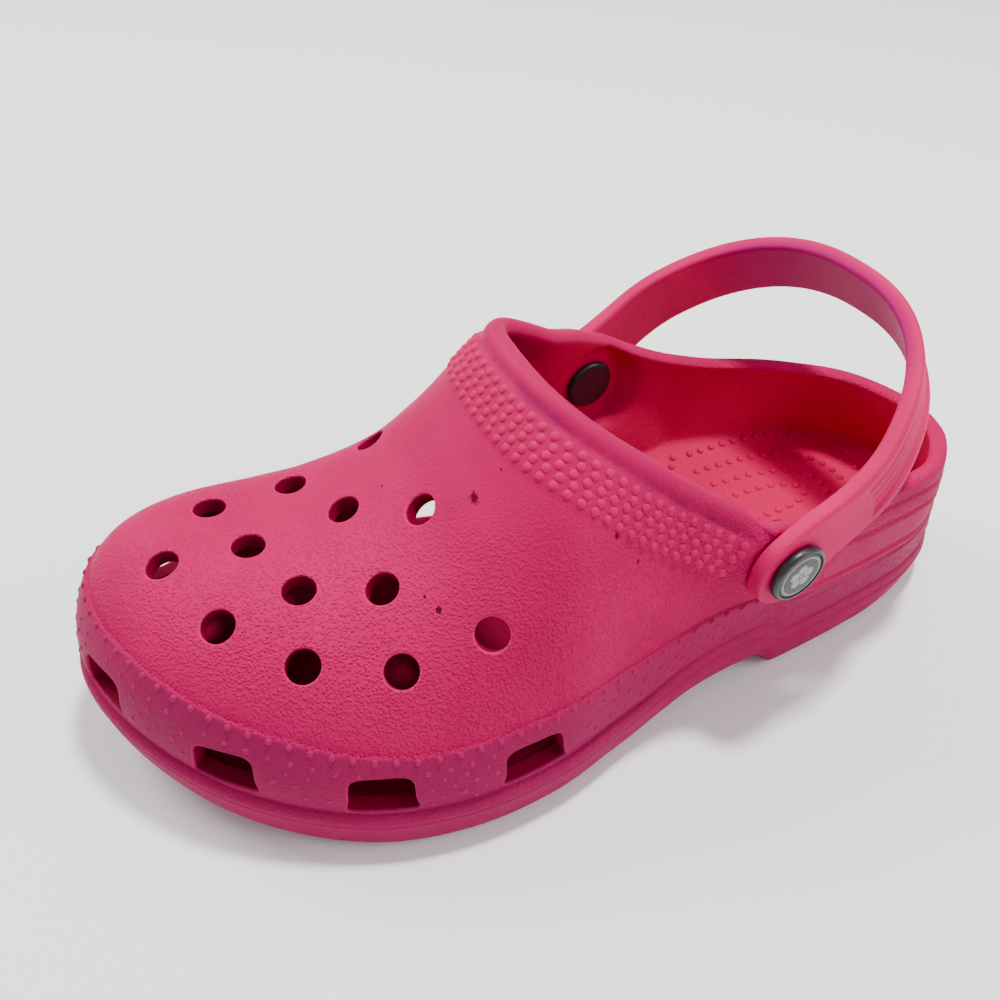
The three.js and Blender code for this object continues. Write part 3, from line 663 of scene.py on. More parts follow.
def badge_print():
    """Silver ink over black: the carried value says where the ink is, with tiny worn specks."""
    material, tree, principled = shader("badge_print", 0.4, 0.5)
    place = object_place(tree)
    specks = noise(tree, place, 1500.0, 3.0)["Fac"]
    ink = times(tree, carried(tree, "rand"), grade(tree, specks, 0.30, 0.40), True)
    silver = blend_colour(tree, grade(tree, specks, 0.4, 0.65), (0.22, 0.23, 0.235, 1),
                          (0.34, 0.35, 0.355, 1))
    disc = blend_colour(tree, ink, (0.008, 0.009, 0.009, 1), silver)
    tree.links.new(disc, principled.inputs["Base Color"])
    tree.links.new(times(tree, ink, 0.2), principled.inputs["Metallic"])
    tree.links.new(grade(tree, specks, 0.3, 0.7, 0.32, 0.48), principled.inputs["Roughness"])
    return material


BODY_FOAM = foam_body()
RAND_FOAM = foam_plain("rand_bumps", (0.350, 0.0080, 0.090, 1), (0.280, 0.0060, 0.070, 1), 0.2)
COLLAR_FOAM = foam_plain("collar_bumps", (0.590, 0.0015, 0.104, 1), (0.450, 0.0010, 0.076, 1), 0.2)
BED_FOAM = foam_plain("footbed_foam", (0.580, 0.0010, 0.076, 1), (0.480, 0.0008, 0.060, 1), 0.15)
# The last colour is the strap's painted purple sheen on its inner face.
STRAP_FOAM = foam_plain("strap_foam", (0.620, 0.0012, 0.108, 1), (0.490, 0.0010, 0.084, 1), 0.3,
                        (0.330, 0.0006, 0.130, 1))
BLACK = black_plastic()
PRINT = badge_print()


# ------------------------------------------------------------------ the clog's body
RIBS = 288


def rib_runs():
    """Distances along the outline for the ribs, closer together round the front."""
    run = np.linspace(0, EDGE_LENGTH, 4001)
    point, _ = edge_at(run)
    density = 0.55 + 0.45 * ease((25 - point[:, 1]) / 40)
    total = np.r_[0, np.cumsum((density[1:] + density[:-1]) / 2 * np.diff(run))]
    return np.interp(np.arange(RIBS) / RIBS * total[-1], total, run)


RUNS = rib_runs()
FOOT, OUT = edge_at(RUNS)
OUTSIDE = ease((FOOT[:, 0] - ridge(FOOT[:, 1])) / 12 + 0.5)
VENT_ROWS = 12
HOLE_ROWS = np.linspace(0, 15.0, VENT_ROWS + 1)     # fixed heights: vents sit on whole rows
CREASE_ROWS = np.array([-0.9, -0.45, -0.15, 0.15, 0.45, 0.9, 1.6])
COLLAR_ROWS = 24
FIELD_ROWS = 56
collar_height = monotone([(-20, 22), (40, 20), (62, 15), (134, 15)])


def outer_rows():
    """Outer wall: from the band up each rib to the rim, pushed out by the flare. Rows are set by
    distance: 12 steps for the vents, then to the crease above the rand, the field, the collar."""
    k = 1 - np.linspace(0, 1, 321) ** 2.2
    plan = POLE + k[None, :, None] * (FOOT - POLE)[:, None, :]
    x, y = plan[..., 0], plan[..., 1]
    z = vault(x, y)
    z[:, 0] = base(FOOT[:, 1])
    rim = rim_height(x, y)
    above = z >= rim
    above[:, 0] = False
    first = np.argmax(above, axis=1)
    i = np.arange(RIBS)
    under, over = (rim - z)[i, first - 1], (z - rim)[i, first]
    line = np.concatenate([plan, z[..., None]], -1)
    last_under = line[i, first - 1]
    top = last_under + (under / (under + over))[:, None] * (line[i, first] - last_under)
    line = np.where((np.arange(321)[None] >= first[:, None])[..., None], top[:, None], line)
    flare = OUTSIDE * flare_outer(FOOT[:, 1]) + (1 - OUTSIDE) * flare_inner(FOOT[:, 1])
    lift = ease((line[..., 2] - base(FOOT[:, 1])[:, None]) / 40)
    line[..., :2] += OUT[:, None] * (flare[:, None] * lift)[..., None]
    run = run_along(line)
    total = run[:, -1:]
    rand = rand_height(FOOT[:, 1])[:, None]
    collar = collar_height(FOOT[:, 1])[:, None]
    scale = np.minimum(1, (rand - 1.6) / HOLE_ROWS[-1])
    low = HOLE_ROWS[None] * scale
    gap = rand - 0.9 - low[:, -1:]
    middle = low[:, -1:] + gap * np.linspace(0, 1, 9)[None, 1:-1]
    crease = rand + CREASE_ROWS[None]
    start, end = crease[:, -1:], total - collar
    field = start + (end - start) * np.linspace(0, 1, FIELD_ROWS + 2)[None, 1:-1]
    high = end + collar * np.linspace(0, 1, COLLAR_ROWS)[None] ** 0.9
    at = np.concatenate([low, middle, crease, field, high], 1)
    return along_each(run, line, at), at, total


def seat_frames():
    """For both seats: a point of the seat plane and the way out of the clog."""
    return [(HINGE + side * SPAN * AXIS, side * AXIS) for side in (1, -1)]


SEAT_REACH, SEAT_SOFT = 12.3, 4.5       # flat seat round the rivet, and the blend beyond it
LINING_REACH, LINING_SOFT = 8.6, 8.0    # the same inside, under the cap
ARM_REACH, ARM_SOFT = 19, 9             # how far out the wall stays below the seat plane
SEAT_DEPTH = 15                         # points further from the plane belong to the other side
RIVET_BORE = 4.9                        # radius of the bore in the wall, round the cap's tube


def flatten(points, depth, reach, soft):
    """Moves points near each hinge seat onto its plane, softly beyond the reach. Further out the
    wall only stays below the plane, so that the swinging arm clears it."""
    for origin, out in seat_frames():
        v = points - origin
        along = v @ out
        away = np.linalg.norm(v - along[..., None] * out, axis=-1)
        near = np.abs(along) < SEAT_DEPTH
        share = (1 - ease((away - reach) / soft)) * near
        around = (1 - share) * (1 - ease((away - ARM_REACH) / ARM_SOFT)) * near
        over = around * np.maximum(along + depth, 0)
        points = points - (share * (along + depth) + over)[..., None] * out
    return points


def wall_normals(points):
    along = np.roll(points, -1, 0) - np.roll(points, 1, 0)
    up = np.gradient(points, axis=1)
    normal = unit(np.cross(up, along))
    return normal * np.sign((normal[:, 20, :2] * OUT).sum())


outer, OUTER_RUN, TOTAL_RUN = outer_rows()
ROWS = outer.shape[1]
NORMALS = wall_normals(outer)
FROM_RIM = TOTAL_RUN - OUTER_RUN
RAND_LINE = rand_height(FOOT[:, 1])[:, None]
PLACE_Y = outer[..., 1]


def relief():
    """Height of the moulded detail above the plain wall: the rand stands half a millimetre proud,
    with a groove over it; the lip is rolled, with a groove under it; a faint step ends the dotted
    band; two grooves and a flash line run back from the strap eye to the heel."""
    rand = 0.55 * (1 - ease((OUTER_RUN - RAND_LINE + 0.35) / 0.7)) * ease(OUTER_RUN / 5.0)
    over = -0.18 * bell(OUTER_RUN, RAND_LINE + 0.8, 0.7)
    front = 1 - ease((PLACE_Y - 42) / 18)
    lip = 0.45 * (1 - ease((FROM_RIM - 1.0) / 1.8)) * (1 - 0.9 * ease((PLACE_Y - 30) / 18))
    groove = -0.55 * bell(FROM_RIM, 4.0, 0.85)
    step = 0.30 * (1 - ease((FROM_RIM - 17.6) / 0.9)) * front
    back = ease((PLACE_Y - 56) / 12)
    upper = -0.75 * bell(FROM_RIM, 11.0, 0.8) * back + 0.10 * bell(FROM_RIM, 12.9, 0.7) * back
    lower = -0.55 * bell(OUTER_RUN, 17.2, 0.9) * back + 0.30 * bell(OUTER_RUN, 15.3, 0.8) * back
    rise = np.interp(PLACE_Y, [-25, 5, 13, 25, 34, 47, 70, 100],
                     [0.3, 0.4, 0.9, 2.0, 4.6, 8.0, 11, 12.5])
    crease = -0.50 * bell(OUTER_RUN, rise, 0.55) * ease((PLACE_Y + 30) / 25)
    band = rand * (1 - 0.6 * back) + over * (1 - back)
    return band + lip + groove + step + upper + lower + crease


outer = outer + NORMALS * relief()[..., None]
outer = flatten(outer, 0.0, SEAT_REACH, SEAT_SOFT)

INNER_ROWS = 62


def inner_rows():
    """Inner wall: the outer wall moved in by its thickness, from the rim down to the footbed. In
    front of the arch it goes down to the band, so that the vents open above the footbed."""
    plain = flatten(outer - NORMALS * relief()[..., None], 0.0, SEAT_REACH, SEAT_SOFT)
    line = flatten(plain - NORMALS * WALL, WALL, LINING_REACH, LINING_SOFT)
    x, y = line[..., 0], line[..., 1]
    bed = footbed_height(x, y)
    foot = bed + (np.minimum(bed, base(y) - 0.5) - bed) * (1 - ease((y + 12) / 25))
    line = line[:, ::-1]
    foot = foot[:, ::-1]
    below = line[..., 2] <= foot
    below[:, :6] = False
    below[:, -1] = True
    last = np.argmax(below, axis=1)
    i = np.arange(RIBS)
    up, down = (line[..., 2] - foot)[i, last - 1], (foot - line[..., 2])[i, last]
    share = up / np.maximum(up + np.maximum(down, 0), 1e-6)
    end = line[i, last - 1] + share[:, None] * (line[i, last] - line[i, last - 1])
    past = np.arange(line.shape[1])[None] >= last[:, None]
    line = np.where(past[..., None], end[:, None], line)
    run = run_along(line)
    total = run[:, -1:]
    low = total - np.linspace(0, 16.8, VENT_ROWS + 1)[None] * np.minimum(1, total / 30)
    high = low[:, -1:] * np.linspace(1, 0, INNER_ROWS - VENT_ROWS)[None, 1:]
    at = np.concatenate([low, high], 1)
    return along_each(run, line, at)


inner = inner_rows()


def carry(points, **shares):
    """Adds the carried values to a grid of points."""
    shape = points.shape[:-1]
    extra = [np.broadcast_to(shares.get(label, 0.0), shape) for label in VALUES]
    return np.concatenate([points, np.stack(extra, -1)], -1)


def band_rows():
    """Sole band: out from the edge by a small table of steps, above the tread."""
    y = FOOT[:, 1]
    tuck = 4 * np.clip((y - 95) / 40, 0, 1)
    ledge = LEDGE * (1 - 0.55 * ease((y + 10) / 40))
    rows = [(-4.6 - tuck, 0), (-3.2 - tuck, 0.25), (-1.4 - tuck, 1.1), (-0.5 - 0.95 * tuck, 2.2),
            (0.2 - 0.8 * tuck, 3.8), (0.75 - 0.6 * tuck, 6.0), (1.1 - 0.45 * tuck, 8.2),
            (1.45 - 0.3 * tuck, 10.6), (0.5 + 0.7 * ledge, 11.9), (ledge + 0.02, 12.4),
            (ledge - 0.15, 12.7), (ledge - 0.1, 13.1), (ledge + 0.05, 13.6), (ledge - 0.05, 14.4),
            (0.78 * ledge, 15.2), (0.5 * ledge, 15.9), (0.22 * ledge, 16.35)]
    grid = []
    for push, height in rows:
        plan = FOOT + OUT * np.broadcast_to(push, y.shape)[:, None]
        grid.append(np.concatenate([plan, (tread(y) + height)[:, None]], 1))
    return np.stack(grid, 1)


band = band_rows()


def tread_rows():
    """Underside: straight lines from the pole out to the band's lowest ring."""
    k = np.linspace(0, 1, 15)[1:-1]
    plan = POLE + k[None, :, None] * (band[:, 0, :2] - POLE)[:, None]
    return np.concatenate([plan, tread(plan[..., 1])[..., None]], -1)


def floor_rows():
    """Footbed: from the foot of the inner wall to the pole, with a soft gutter in front."""
    foot = inner[:, 0]
    k = np.r_[0.985, 0.965, 0.94, np.linspace(0.91, 0.05, 26)]
    plan = POLE + k[None, :, None] * (foot[:, None, :2] - POLE)
    bed = footbed_height(plan[..., 0], plan[..., 1])
    drop = footbed_height(foot[:, 0], foot[:, 1]) - foot[:, 2]
    away = (1 - k)[None] * np.linalg.norm(foot[:, :2] - POLE, axis=1)[:, None]
    z = bed - drop[:, None] * (1 - ease(away / 6))
    return np.concatenate([plan, z[..., None]], -1)


def lip_rows():
    """Rolled lip: half a round between the top of the outer wall and the top of the inner one."""
    a, b = outer[:, -1], inner[:, -1]
    middle, half = (a + b) / 2, (a - b) / 2
    up = unit(outer[:, -1] - outer[:, -3])
    up = unit(up - (up * unit(half)).sum(-1, keepdims=True) * unit(half))
    size = np.linalg.norm(half, axis=1)[:, None]
    rise = (0.82 - 0.34 * ease((middle[:, 1:2] - 32) / 18)) * size
    turn = np.radians(np.arange(18, 180, 18))
    return np.stack([middle + np.cos(t) * half + np.sin(t) * rise * up for t in turn], 1)


def build_body():
    """The whole moulding as one closed skin: tread, band, outer wall, lip, inner wall, footbed,
    with the round vents, the side vents and the two rivet bores cut through it."""
    build = Build()
    floor = floor_rows()
    under = 1 - ease((OUTER_RUN - RAND_LINE + 0.2) / 0.6)
    back = ease((PLACE_Y - 40) / 30)
    # Darker band in the groove under the lip, and a faint broad one 12 mm below the rim towards the
    # heel.
    stain = bell(FROM_RIM, 3.6, 1.9) * 0.95 + 0.15 * bell(FROM_RIM, 12.0, 6.0) * ease(PLACE_Y / 30)
    worn = under * (1 - 0.3 * back) + 0.30 * back
    wall = carry(outer, rand=np.clip(worn, 0, 1), stain=np.clip(stain, 0, 1))
    sole = carry(band, rand=0.9)
    bottom = carry(tread_rows(), rand=0.9)
    edge = carry(lip_rows(), rand=0.35, inside=np.linspace(0, 0.5, 9)[None])
    lining = carry(inner, inside=1.0)
    bed = carry(floor, inside=1.0)
    chain = np.concatenate([bottom, sole, wall, edge, lining[:, ::-1], bed], 1)
    number = build.add(chain)
    rows = chain.shape[1]
    first_wall = bottom.shape[1] + sole.shape[1]
    first_lining = first_wall + ROWS + edge.shape[1]
    keep = np.ones((RIBS, rows - 1), bool)
    wall_ids = number[:, first_wall:first_wall + ROWS]
    lining_ids = number[:, first_lining:first_lining + inner.shape[1]][:, ::-1]
    front, back_sheet = Sheet(wall), Sheet(lining)

    def cut(centre, e1, e2, shape, size, fillet, low=None):
        """Bores one hole and takes out the faces of the blocks round it on both walls. A given low
        is the number of rows to the middle of a block that starts on the first row."""
        pairs = ((front, nearest(wall, centre)),
                 (back_sheet, nearest(lining, centre - np.cross(e1, e2) * WALL)))
        spacing = []
        for sheet, spot in pairs:
            da, db = sheet.slopes(*whole(spot), 2.0)
            spacing.append((np.linalg.norm(da), np.linalg.norm(db)))
        steps_round, steps_up = np.min(spacing, axis=0)
        ha = int(np.ceil((size[0] + fillet) / steps_round + 1.6))
        hb = low or int(np.ceil((size[1] + fillet) / steps_up + 1.6))
        outer_spot, inner_spot = (
            (spot[0], low or int(np.clip(spot[1], hb, sheet.grid.shape[1] - 1 - hb)))
            for sheet, spot in pairs)
        bore(build, front, back_sheet, wall_ids, lining_ids, outer_spot, inner_spot, (ha, hb),
             centre, e1, e2, shape, fillet)
        for spot, lining_side in ((outer_spot, False), (inner_spot, True)):
            i = np.arange(spot[0] - ha, spot[0] + ha) % RIBS
            k = np.arange(spot[1] - hb, spot[1] + hb)
            rows_cut = first_lining + inner.shape[1] - 2 - k if lining_side else first_wall + k
            keep[np.ix_(i, rows_cut)] = False

    for x, y in HOLES:
        spot = whole(nearest_plan(x, y))
        da, db = front.slopes(*spot)
        e1 = unit(da)
        e2 = unit(db - (db @ e1) * e1)
        centre = front.at(*spot)[:3]
        flat = np.array([[e1[0], e2[0]], [e1[1], e2[1]]])
        move = np.linalg.solve(flat, np.array([x, y]) - centre[:2])
        centre = centre + move[0] * e1 + move[1] * e2
        cut(centre, e1, e2, round_outline(HOLE_RADIUS), (HOLE_RADIUS, HOLE_RADIUS), 0.55)
    for along in VENTS:
        point, out = edge_at(np.array(TIP_RUN + along))
        e2 = np.array([0, 0, 1.0])
        e1 = np.cross(e2, [out[0], out[1], 0.0])
        ahead = edge_at(np.array(TIP_RUN + along + 2))[0] - point
        if ahead @ e1[:2] < 0:
            e1 = -e1
        centre = np.array([point[0], point[1], base(point[1]) + 0.9 + VENT_HEIGHT / 2])
        cut(centre, e1, e2, vent_outline, (VENT_HALF_WIDTH, VENT_HEIGHT / 2), 0.5, VENT_ROWS // 2)
    for origin, out in seat_frames():
        da, db = front.slopes(*whole(nearest(wall, origin)))
        e1 = unit(da - (da @ out) * out)
        e2 = np.cross(out, e1)
        if db @ e2 < 0:
            e2 = -e2
        cut(origin, e1, e2, round_outline(RIVET_BORE), (RIVET_BORE, RIVET_BORE), 0.3)
    i, j = np.arange(RIBS), (np.arange(RIBS) + 1) % RIBS
    low, high = number[:, :-1], number[:, 1:]
    quads = np.stack([low[i], high[i], high[j], low[j]], -1)[keep]
    build.faces.append(quads)
    pole = build.add(carry(np.array([[*POLE, tread(POLE[1])]]), rand=0.9))[0]
    build.fan(number[:, 0], pole, True)
    heart = build.add(carry(np.array([[*POLE, footbed_height(*POLE)]]), inside=1.0))[0]
    build.fan(number[:, -1], heart)
    return build.done()


def whole(spot):
    """A grid place as a pair of plain arrays, as Sheet takes it."""
    return [np.array(float(v)) for v in spot]


def nearest(grid, point):
    d = np.linalg.norm(grid[..., :3] - point, axis=-1)
    return np.unravel_index(np.argmin(d), d.shape)


def nearest_plan(x, y):
    d = np.hypot(outer[..., 0] - x, outer[..., 1] - y) + 0.02 * np.abs(outer[..., 2] - vault(x, y))
    return np.unravel_index(np.argmin(d), d.shape)


points, faces = build_body()
body = make_mesh("clog_moulding", points, faces, BODY_FOAM, values=VALUES)
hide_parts("clog_body")
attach(body, "clog")
print("clog_moulding", len(points), "points", len(faces), "faces")


# ------------------------------------------------------------------ bumps on the skin
WALL_SHEET = Sheet(outer)


def beads_along(row, spacing, phase, allowed):
    """Evenly spaced places along one row of the outer wall where allowed(x, y, z) says so."""
    loop = np.vstack([row, row[:1]])
    run = run_along(loop)
    count = int(run[-1] // spacing)
    at = (np.arange(count) + phase) * run[-1] / count
    share = np.interp(at, run, np.arange(len(loop)))
    return share[allowed(read_line(at, run, loop))]


def row_at(values, wanted):
    """Fractional row whose value is the wanted one, for every rib."""
    k = np.arange(values.shape[1])
    sign = 1 if values[0, -1] > values[0, 0] else -1
    shift = np.arange(len(values))[:, None] * 1000.0
    flat = (sign * values + shift).ravel()
    look = (sign * np.broadcast_to(wanted, (len(values),))[:, None] + shift).ravel()
    return np.interp(look, flat, np.tile(k, len(values)).astype(float))


def line_of_bumps(values, wanted, spacing, phase, allowed):
    """Places and normals of bumps on the line where the row value equals the wanted one."""
    rows = row_at(values, wanted)
    ribs = np.arange(RIBS).astype(float)
    line = WALL_SHEET.at(ribs, rows)
    share = beads_along(line, spacing, phase, allowed)
    b = np.interp(share, np.arange(RIBS + 1), np.r_[rows, rows[0]])
    da, db = WALL_SHEET.slopes(share, b)
    normal = unit(np.cross(db, da))
    place = WALL_SHEET.at(share, b)
    out = place[:, :2] - np.array([-8.0, 0.0])
    flip = np.sign((normal[:, :2] * out).sum(-1) + 3 * normal[:, 2])[:, None]
    return place, normal * flip


def clear_of_holes(p, reach=7.2):
    """True for points away from the round vents and the side vents."""
    good = np.ones(len(p), bool)
    for x, y in HOLES:
        good &= np.hypot(p[:, 0] - x, p[:, 1] - y) > reach
    for along in VENTS:
        point, out = edge_at(np.array(TIP_RUN + along))
        side = (p[:, :2] - point) @ np.array([-out[1], out[0]])
        depth = np.abs((p[:, :2] - point) @ out)
        low = p[:, 2] < base(point[1]) + VENT_HEIGHT + 2.2
        good &= ~((np.abs(side) < VENT_HALF_WIDTH + 1.6) & (depth < 14) & low)
    for origin, _ in seat_frames():
        good &= np.linalg.norm(p - origin, axis=-1) > EYE_RADIUS + 2.5
    return good


def scatter(lines, name, material, sides=8):
    """Joins lines of bumps into one mesh: each line is (places, normals, radius, height)."""
    all_points, all_faces, count = [], [], 0
    for places, normals, radius, height in lines:
        p, f = domes(places, normals, radius, height, sides)
        all_points.append(p)
        all_faces.append(f + count)
        count += len(p)
    obj = make_mesh(name, np.concatenate(all_points), np.concatenate(all_faces), material)
    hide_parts("clog_body")
    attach(obj, "clog")
    return obj


rng = np.random.default_rng(7)
collar_lines = []
for r in range(5):
    place, normal = line_of_bumps(FROM_RIM, 6.6 + 2.45 * r, 4.0, 0.5 * (r % 2),
                                  lambda p: p[:, 1] < 44)
    good = clear_of_holes(place)
    fade = np.clip(1 - (place[:, 1] - 18) / 34, 0.35, 1)
    collar_lines.append((place[good], normal[good], 1.32, 0.50 * fade[good]))
scatter(collar_lines, "collar_dots", COLLAR_FOAM)

rand_lines = []
place, normal = line_of_bumps(OUTER_RUN, (RAND_LINE - 1.1)[:, 0], 5.2, 0.0, lambda p: p[:, 1] < 52)
good = clear_of_holes(place)
rand_lines.append((place[good], normal[good], 0.98, 0.55))
for r in range(5):
    level = 0.8 + (RAND_LINE[:, 0] - 4.4) * (r + 0.4) / 5
    place, normal = line_of_bumps(OUTER_RUN, level, 5.6, 0.5 * (r % 2), lambda p: p[:, 1] < 140)
    good = clear_of_holes(place)
    good &= rng.random(len(place)) > 0.12
    size = rng.uniform(0.7, 1.1, len(place))
    flat = 1 - 0.45 * ease((place[good, 1] - 10) / 50)
    rand_lines.append((place[good], normal[good], 0.85 * size[good], 0.30 * size[good] * flat))
scatter(rand_lines, "rand_beads", RAND_FOAM, 7)


def bed_bumps():
    """Rows of small nubs on the heel of the footbed: nested arches open to the front and a short
    row on the inner side."""
    rows = []
    for half, back, front in ((27.5, 111.5, 63.0), (20.3, 104.0, 62.0), (13.0, 96.5, 60.0),
                              (6.0, 89.0, 64.0)):
        turn = np.linspace(0, np.pi, 241)
        x = -9.0 + half * np.sign(np.cos(turn)) * np.abs(np.cos(turn)) ** 0.8
        y = front + (back - front) * np.sin(turn) ** 0.62
        line = np.stack([x, y], -1)
        run = run_along(line)
        count = int(run[-1] / 3.9)
        at = np.linspace(0, run[-1], count)
        rows.append(read_line(at, run, line))
    rows.append(np.stack([np.linspace(-37, -31, 3), np.linspace(57, 53, 3)], -1))
    plan = np.concatenate(rows)
    x, y, step = plan[:, 0], plan[:, 1], 0.5
    z = footbed_height(x, y)
    gx = (footbed_height(x + step, y) - footbed_height(x - step, y)) / (2 * step)
    gy = (footbed_height(x, y + step) - footbed_height(x, y - step)) / (2 * step)
    normal = unit(np.stack([-gx, -gy, np.ones_like(gx)], -1))
    return np.concatenate([plan, z[:, None]], 1), normal


place, normal = bed_bumps()
scatter([(place, normal, 1.3, 0.8)], "footbed_nubs", BED_FOAM, 10)


# ------------------------------------------------------------------ heel strap
def strap_line(samples=260):
    """Middle line of the strap in its plane: straight arms, then a superelliptic bow. Returns
    across and away from the hinge, and the distance run from the nearer rivet."""
    half = SPAN + GAP + STRAP_THICK / 2
    reach = STRAP_REACH + STRAP_THICK / 2 - STRAP_STRAIGHT

    def arm(away):
        return half + STRAP_SPLAY * ease((away - 0.7 * STRAP_STRAIGHT) / (0.4 * STRAP_REACH))
    angle = np.linspace(0, np.pi, 801)
    away = STRAP_STRAIGHT + reach * np.maximum(0, np.sin(angle)) ** (2 / 1.95)
    across = arm(away) * np.sign(np.cos(angle)) * np.abs(np.cos(angle)) ** (2 / 2.35)
    straight = np.linspace(-EYE_RADIUS, STRAP_STRAIGHT, 60)[:-1]
    x = np.r_[np.full(59, half), across, np.full(59, -half)]
    d = np.r_[straight, away, straight[::-1]]
    line = np.stack([x, d], -1)
    run = run_along(line)
    at = np.r_[np.linspace(0, 2.5, 7)[:-1] ** 1.6 * 2.5 ** -0.6]
    middle = np.linspace(2.5, run[-1] - 2.5, samples)
    at = np.r_[at, middle, (run[-1] - at)[::-1]]
    return read_line(at, run, line), at, run[-1]


FACE_ROWS = 33        # rows across each broad face of the strap
STRAP_BORE = 3.3      # radius of the bore in the strap's eye


def build_strap():
    """Ribbon swept along the middle line: a rectangle with round corners, as wide as the eye at
    both ends, with a sunk panel and three fine ribs along its outer face."""
    place, at, total = strap_line()
    n = len(place)
    tangent = unit(np.gradient(place, axis=0))
    out = np.stack([tangent[:, 1], -tangent[:, 0]], -1)
    straight = np.minimum(at, total - at) - EYE_RADIUS
    out[straight < 1.0] = np.where(place[straight < 1.0, :1] > 0, [[1.0, 0.0]], [[-1.0, 0.0]])
    inside_eye = np.sqrt(np.clip(EYE_RADIUS ** 2 - np.clip(-straight, 0, None) ** 2, 0.02, None))
    width = np.where(straight < 0, inside_eye, STRAP_HALF_WIDTH
                     + (EYE_RADIUS - STRAP_HALF_WIDTH) * (1 - ease(straight / 24)))
    thick = STRAP_THICK / 2 * np.ones(n)
    corner = np.minimum(1.5, 0.9 * width)
    face = np.sin(np.linspace(-1, 1, FACE_ROWS) * np.pi / 2 * 0.92) / np.sin(np.pi / 2 * 0.92)
    turn = np.radians(np.array([18, 36, 54, 72]))[:, None]
    flat, full = face[:, None] * (width - corner), np.tile(thick, (FACE_ROWS, 1))
    side, depth = width - corner + corner * np.sin(turn), thick - corner + corner * np.cos(turn)
    h = np.concatenate([flat, side, side[::-1], flat[::-1], -side, -side[::-1]]).T
    t = np.concatenate([full, depth, -depth[::-1], -full, -depth, depth[::-1]]).T
    count = h.shape[1]
    outer_face = np.zeros(count, bool)
    outer_face[:FACE_ROWS] = True
    run = straight[:, None]
    inset = ease((run - 26 + 0.02 * h ** 2) / 2.5)
    floor = 1 - ease((np.abs(h) - 5.6) / 1.1)
    ribs = 0.42 * (bell(h, 2.7, 0.55) + bell(h, -0.4, 0.55) + bell(h, -3.4, 0.55))
    t = t + np.where(outer_face[None], -(0.95 - ribs) * inset * floor, 0)
    back = np.array([0, 1.0, 0])
    back = unit(back - (back @ AXIS) * AXIS)
    up = np.cross(AXIS, back)
    away = np.cos(STRAP_RAISE) * back + np.sin(STRAP_RAISE) * up
    broad = np.cross(AXIS, away)
    x = place[:, :1] + t * out[:, :1]
    d = place[:, 1:] + t * out[:, 1:]
    grid = HINGE + x[..., None] * AXIS + d[..., None] * away + h[..., None] * broad
    inner_side = (~outer_face[None] & (t < 0)) * 1.0
    # Painted sheen: the inner face, from 45 mm out towards the bow, takes a purple tint standing in
    # for a reflection.
    stain = inner_side * ease((d - 45) / 25) * 0.8
    carried_grid = carry(grid, stain=stain)
    build = Build()
    number = build.add(carried_grid)
    sheet = Sheet(carried_grid.transpose(1, 0, 2))
    ids, middle = number.T, FACE_ROWS // 2
    for side in (1, -1):
        origin = HINGE + side * (SPAN + GAP) * AXIS
        row = np.argmin(np.abs(place[:, 1]) + 100 * (np.sign(place[:, 0]) != side))
        inner_col = int(np.argmin(np.abs(h[row]) + 10 * (t[row] > 0)))
        half_a = int(np.ceil(5.2 / abs(h[row, middle + 1] - h[row, middle]))) + 1
        half_b = int(np.ceil(5.2 / np.abs(place[row + 1, 1] - place[row, 1]))) + 1
        bore(build, sheet, sheet, ids, ids, (middle, int(row)), (inner_col, int(row)),
             (half_a, half_b), origin, broad, side * away, round_outline(STRAP_BORE), 0.3)
    j = (np.arange(count) + 1) % count
    build.quads(number[:-1], number[:-1][:, j], number[1:][:, j], number[1:])
    for end, flip in ((0, False), (n - 1, True)):
        pole = build.add(carried_grid[end].mean(0)[None])[0]
        build.fan(number[end], pole, flip)
    return build.done()


# ------------------------------------------------------------------ rivets and badges
def cross_axes(out):
    """Two axes square to the hinge, the first as near upright as it can be."""
    upright = np.array([0, 0, 1.0])
    u = unit(upright - (upright @ out) * out)
    return u, np.cross(out, u)


def lathe(profile, origin, out, sides=72):
    """Round solid about the hinge axis: profile of (radius, height along the way out)."""
    u, v = cross_axes(out)
    turn = np.arange(sides) / sides * 2 * np.pi
    p = np.array(profile, float)
    ring = ring_of(turn[None], u, v)
    grid = origin + p[:, 0][:, None, None] * ring + p[:, 1][:, None, None] * out
    build = Build()
    number = build.add(carry(grid))
    j = (np.arange(sides) + 1) % sides
    build.quads(number[:-1], number[:-1][:, j], number[1:][:, j], number[1:])
    for end, flip in ((0, True), (-1, False)):
        if p[end, 0] > 1e-6:
            pole = build.add(carry((origin + p[end, 1] * out)[None]))[0]
            build.fan(number[end], pole, not flip)
    return build.done()


def rounded_profile(points, sizes):
    """Profile with its corners rounded: each corner is replaced by a quadratic arc of that size."""
    p = np.array(points, float)
    rows = [p[0]]
    for before, here, after, size in zip(p[:-2], p[1:-1], p[2:], sizes):
        if size <= 0:
            rows.append(here)
            continue
        a = here + unit(before - here) * min(size, 0.45 * np.linalg.norm(before - here))
        b = here + unit(after - here) * min(size, 0.45 * np.linalg.norm(after - here))
        for t in np.linspace(0, 1, 6):
            rows.append((1 - t) ** 2 * a + 2 * t * (1 - t) * here + t ** 2 * b)
    rows.append(p[-1])
    return np.array(rows)


FLANGE_FROM = GAP + STRAP_THICK + GAP
FLANGE_TO = FLANGE_FROM + 2.4
BADGE_RADIUS = 7.1


def button_profile():
    floor = FLANGE_TO - 1.2
    points = [(0.001, -3.8), (2.2, -3.8), (2.8, -3.2), (2.8, FLANGE_FROM), (8.2, FLANGE_FROM),
              (8.7, FLANGE_FROM + 0.5), (8.7, FLANGE_TO - 0.7), (8.1, FLANGE_TO), (7.4, FLANGE_TO),
              (7.4, floor), (0.001, floor)]
    return rounded_profile(points, [0.2, 0.2, 0.3, 0.3, 0.3, 0.5, 0.4, 0.2, 0.1])


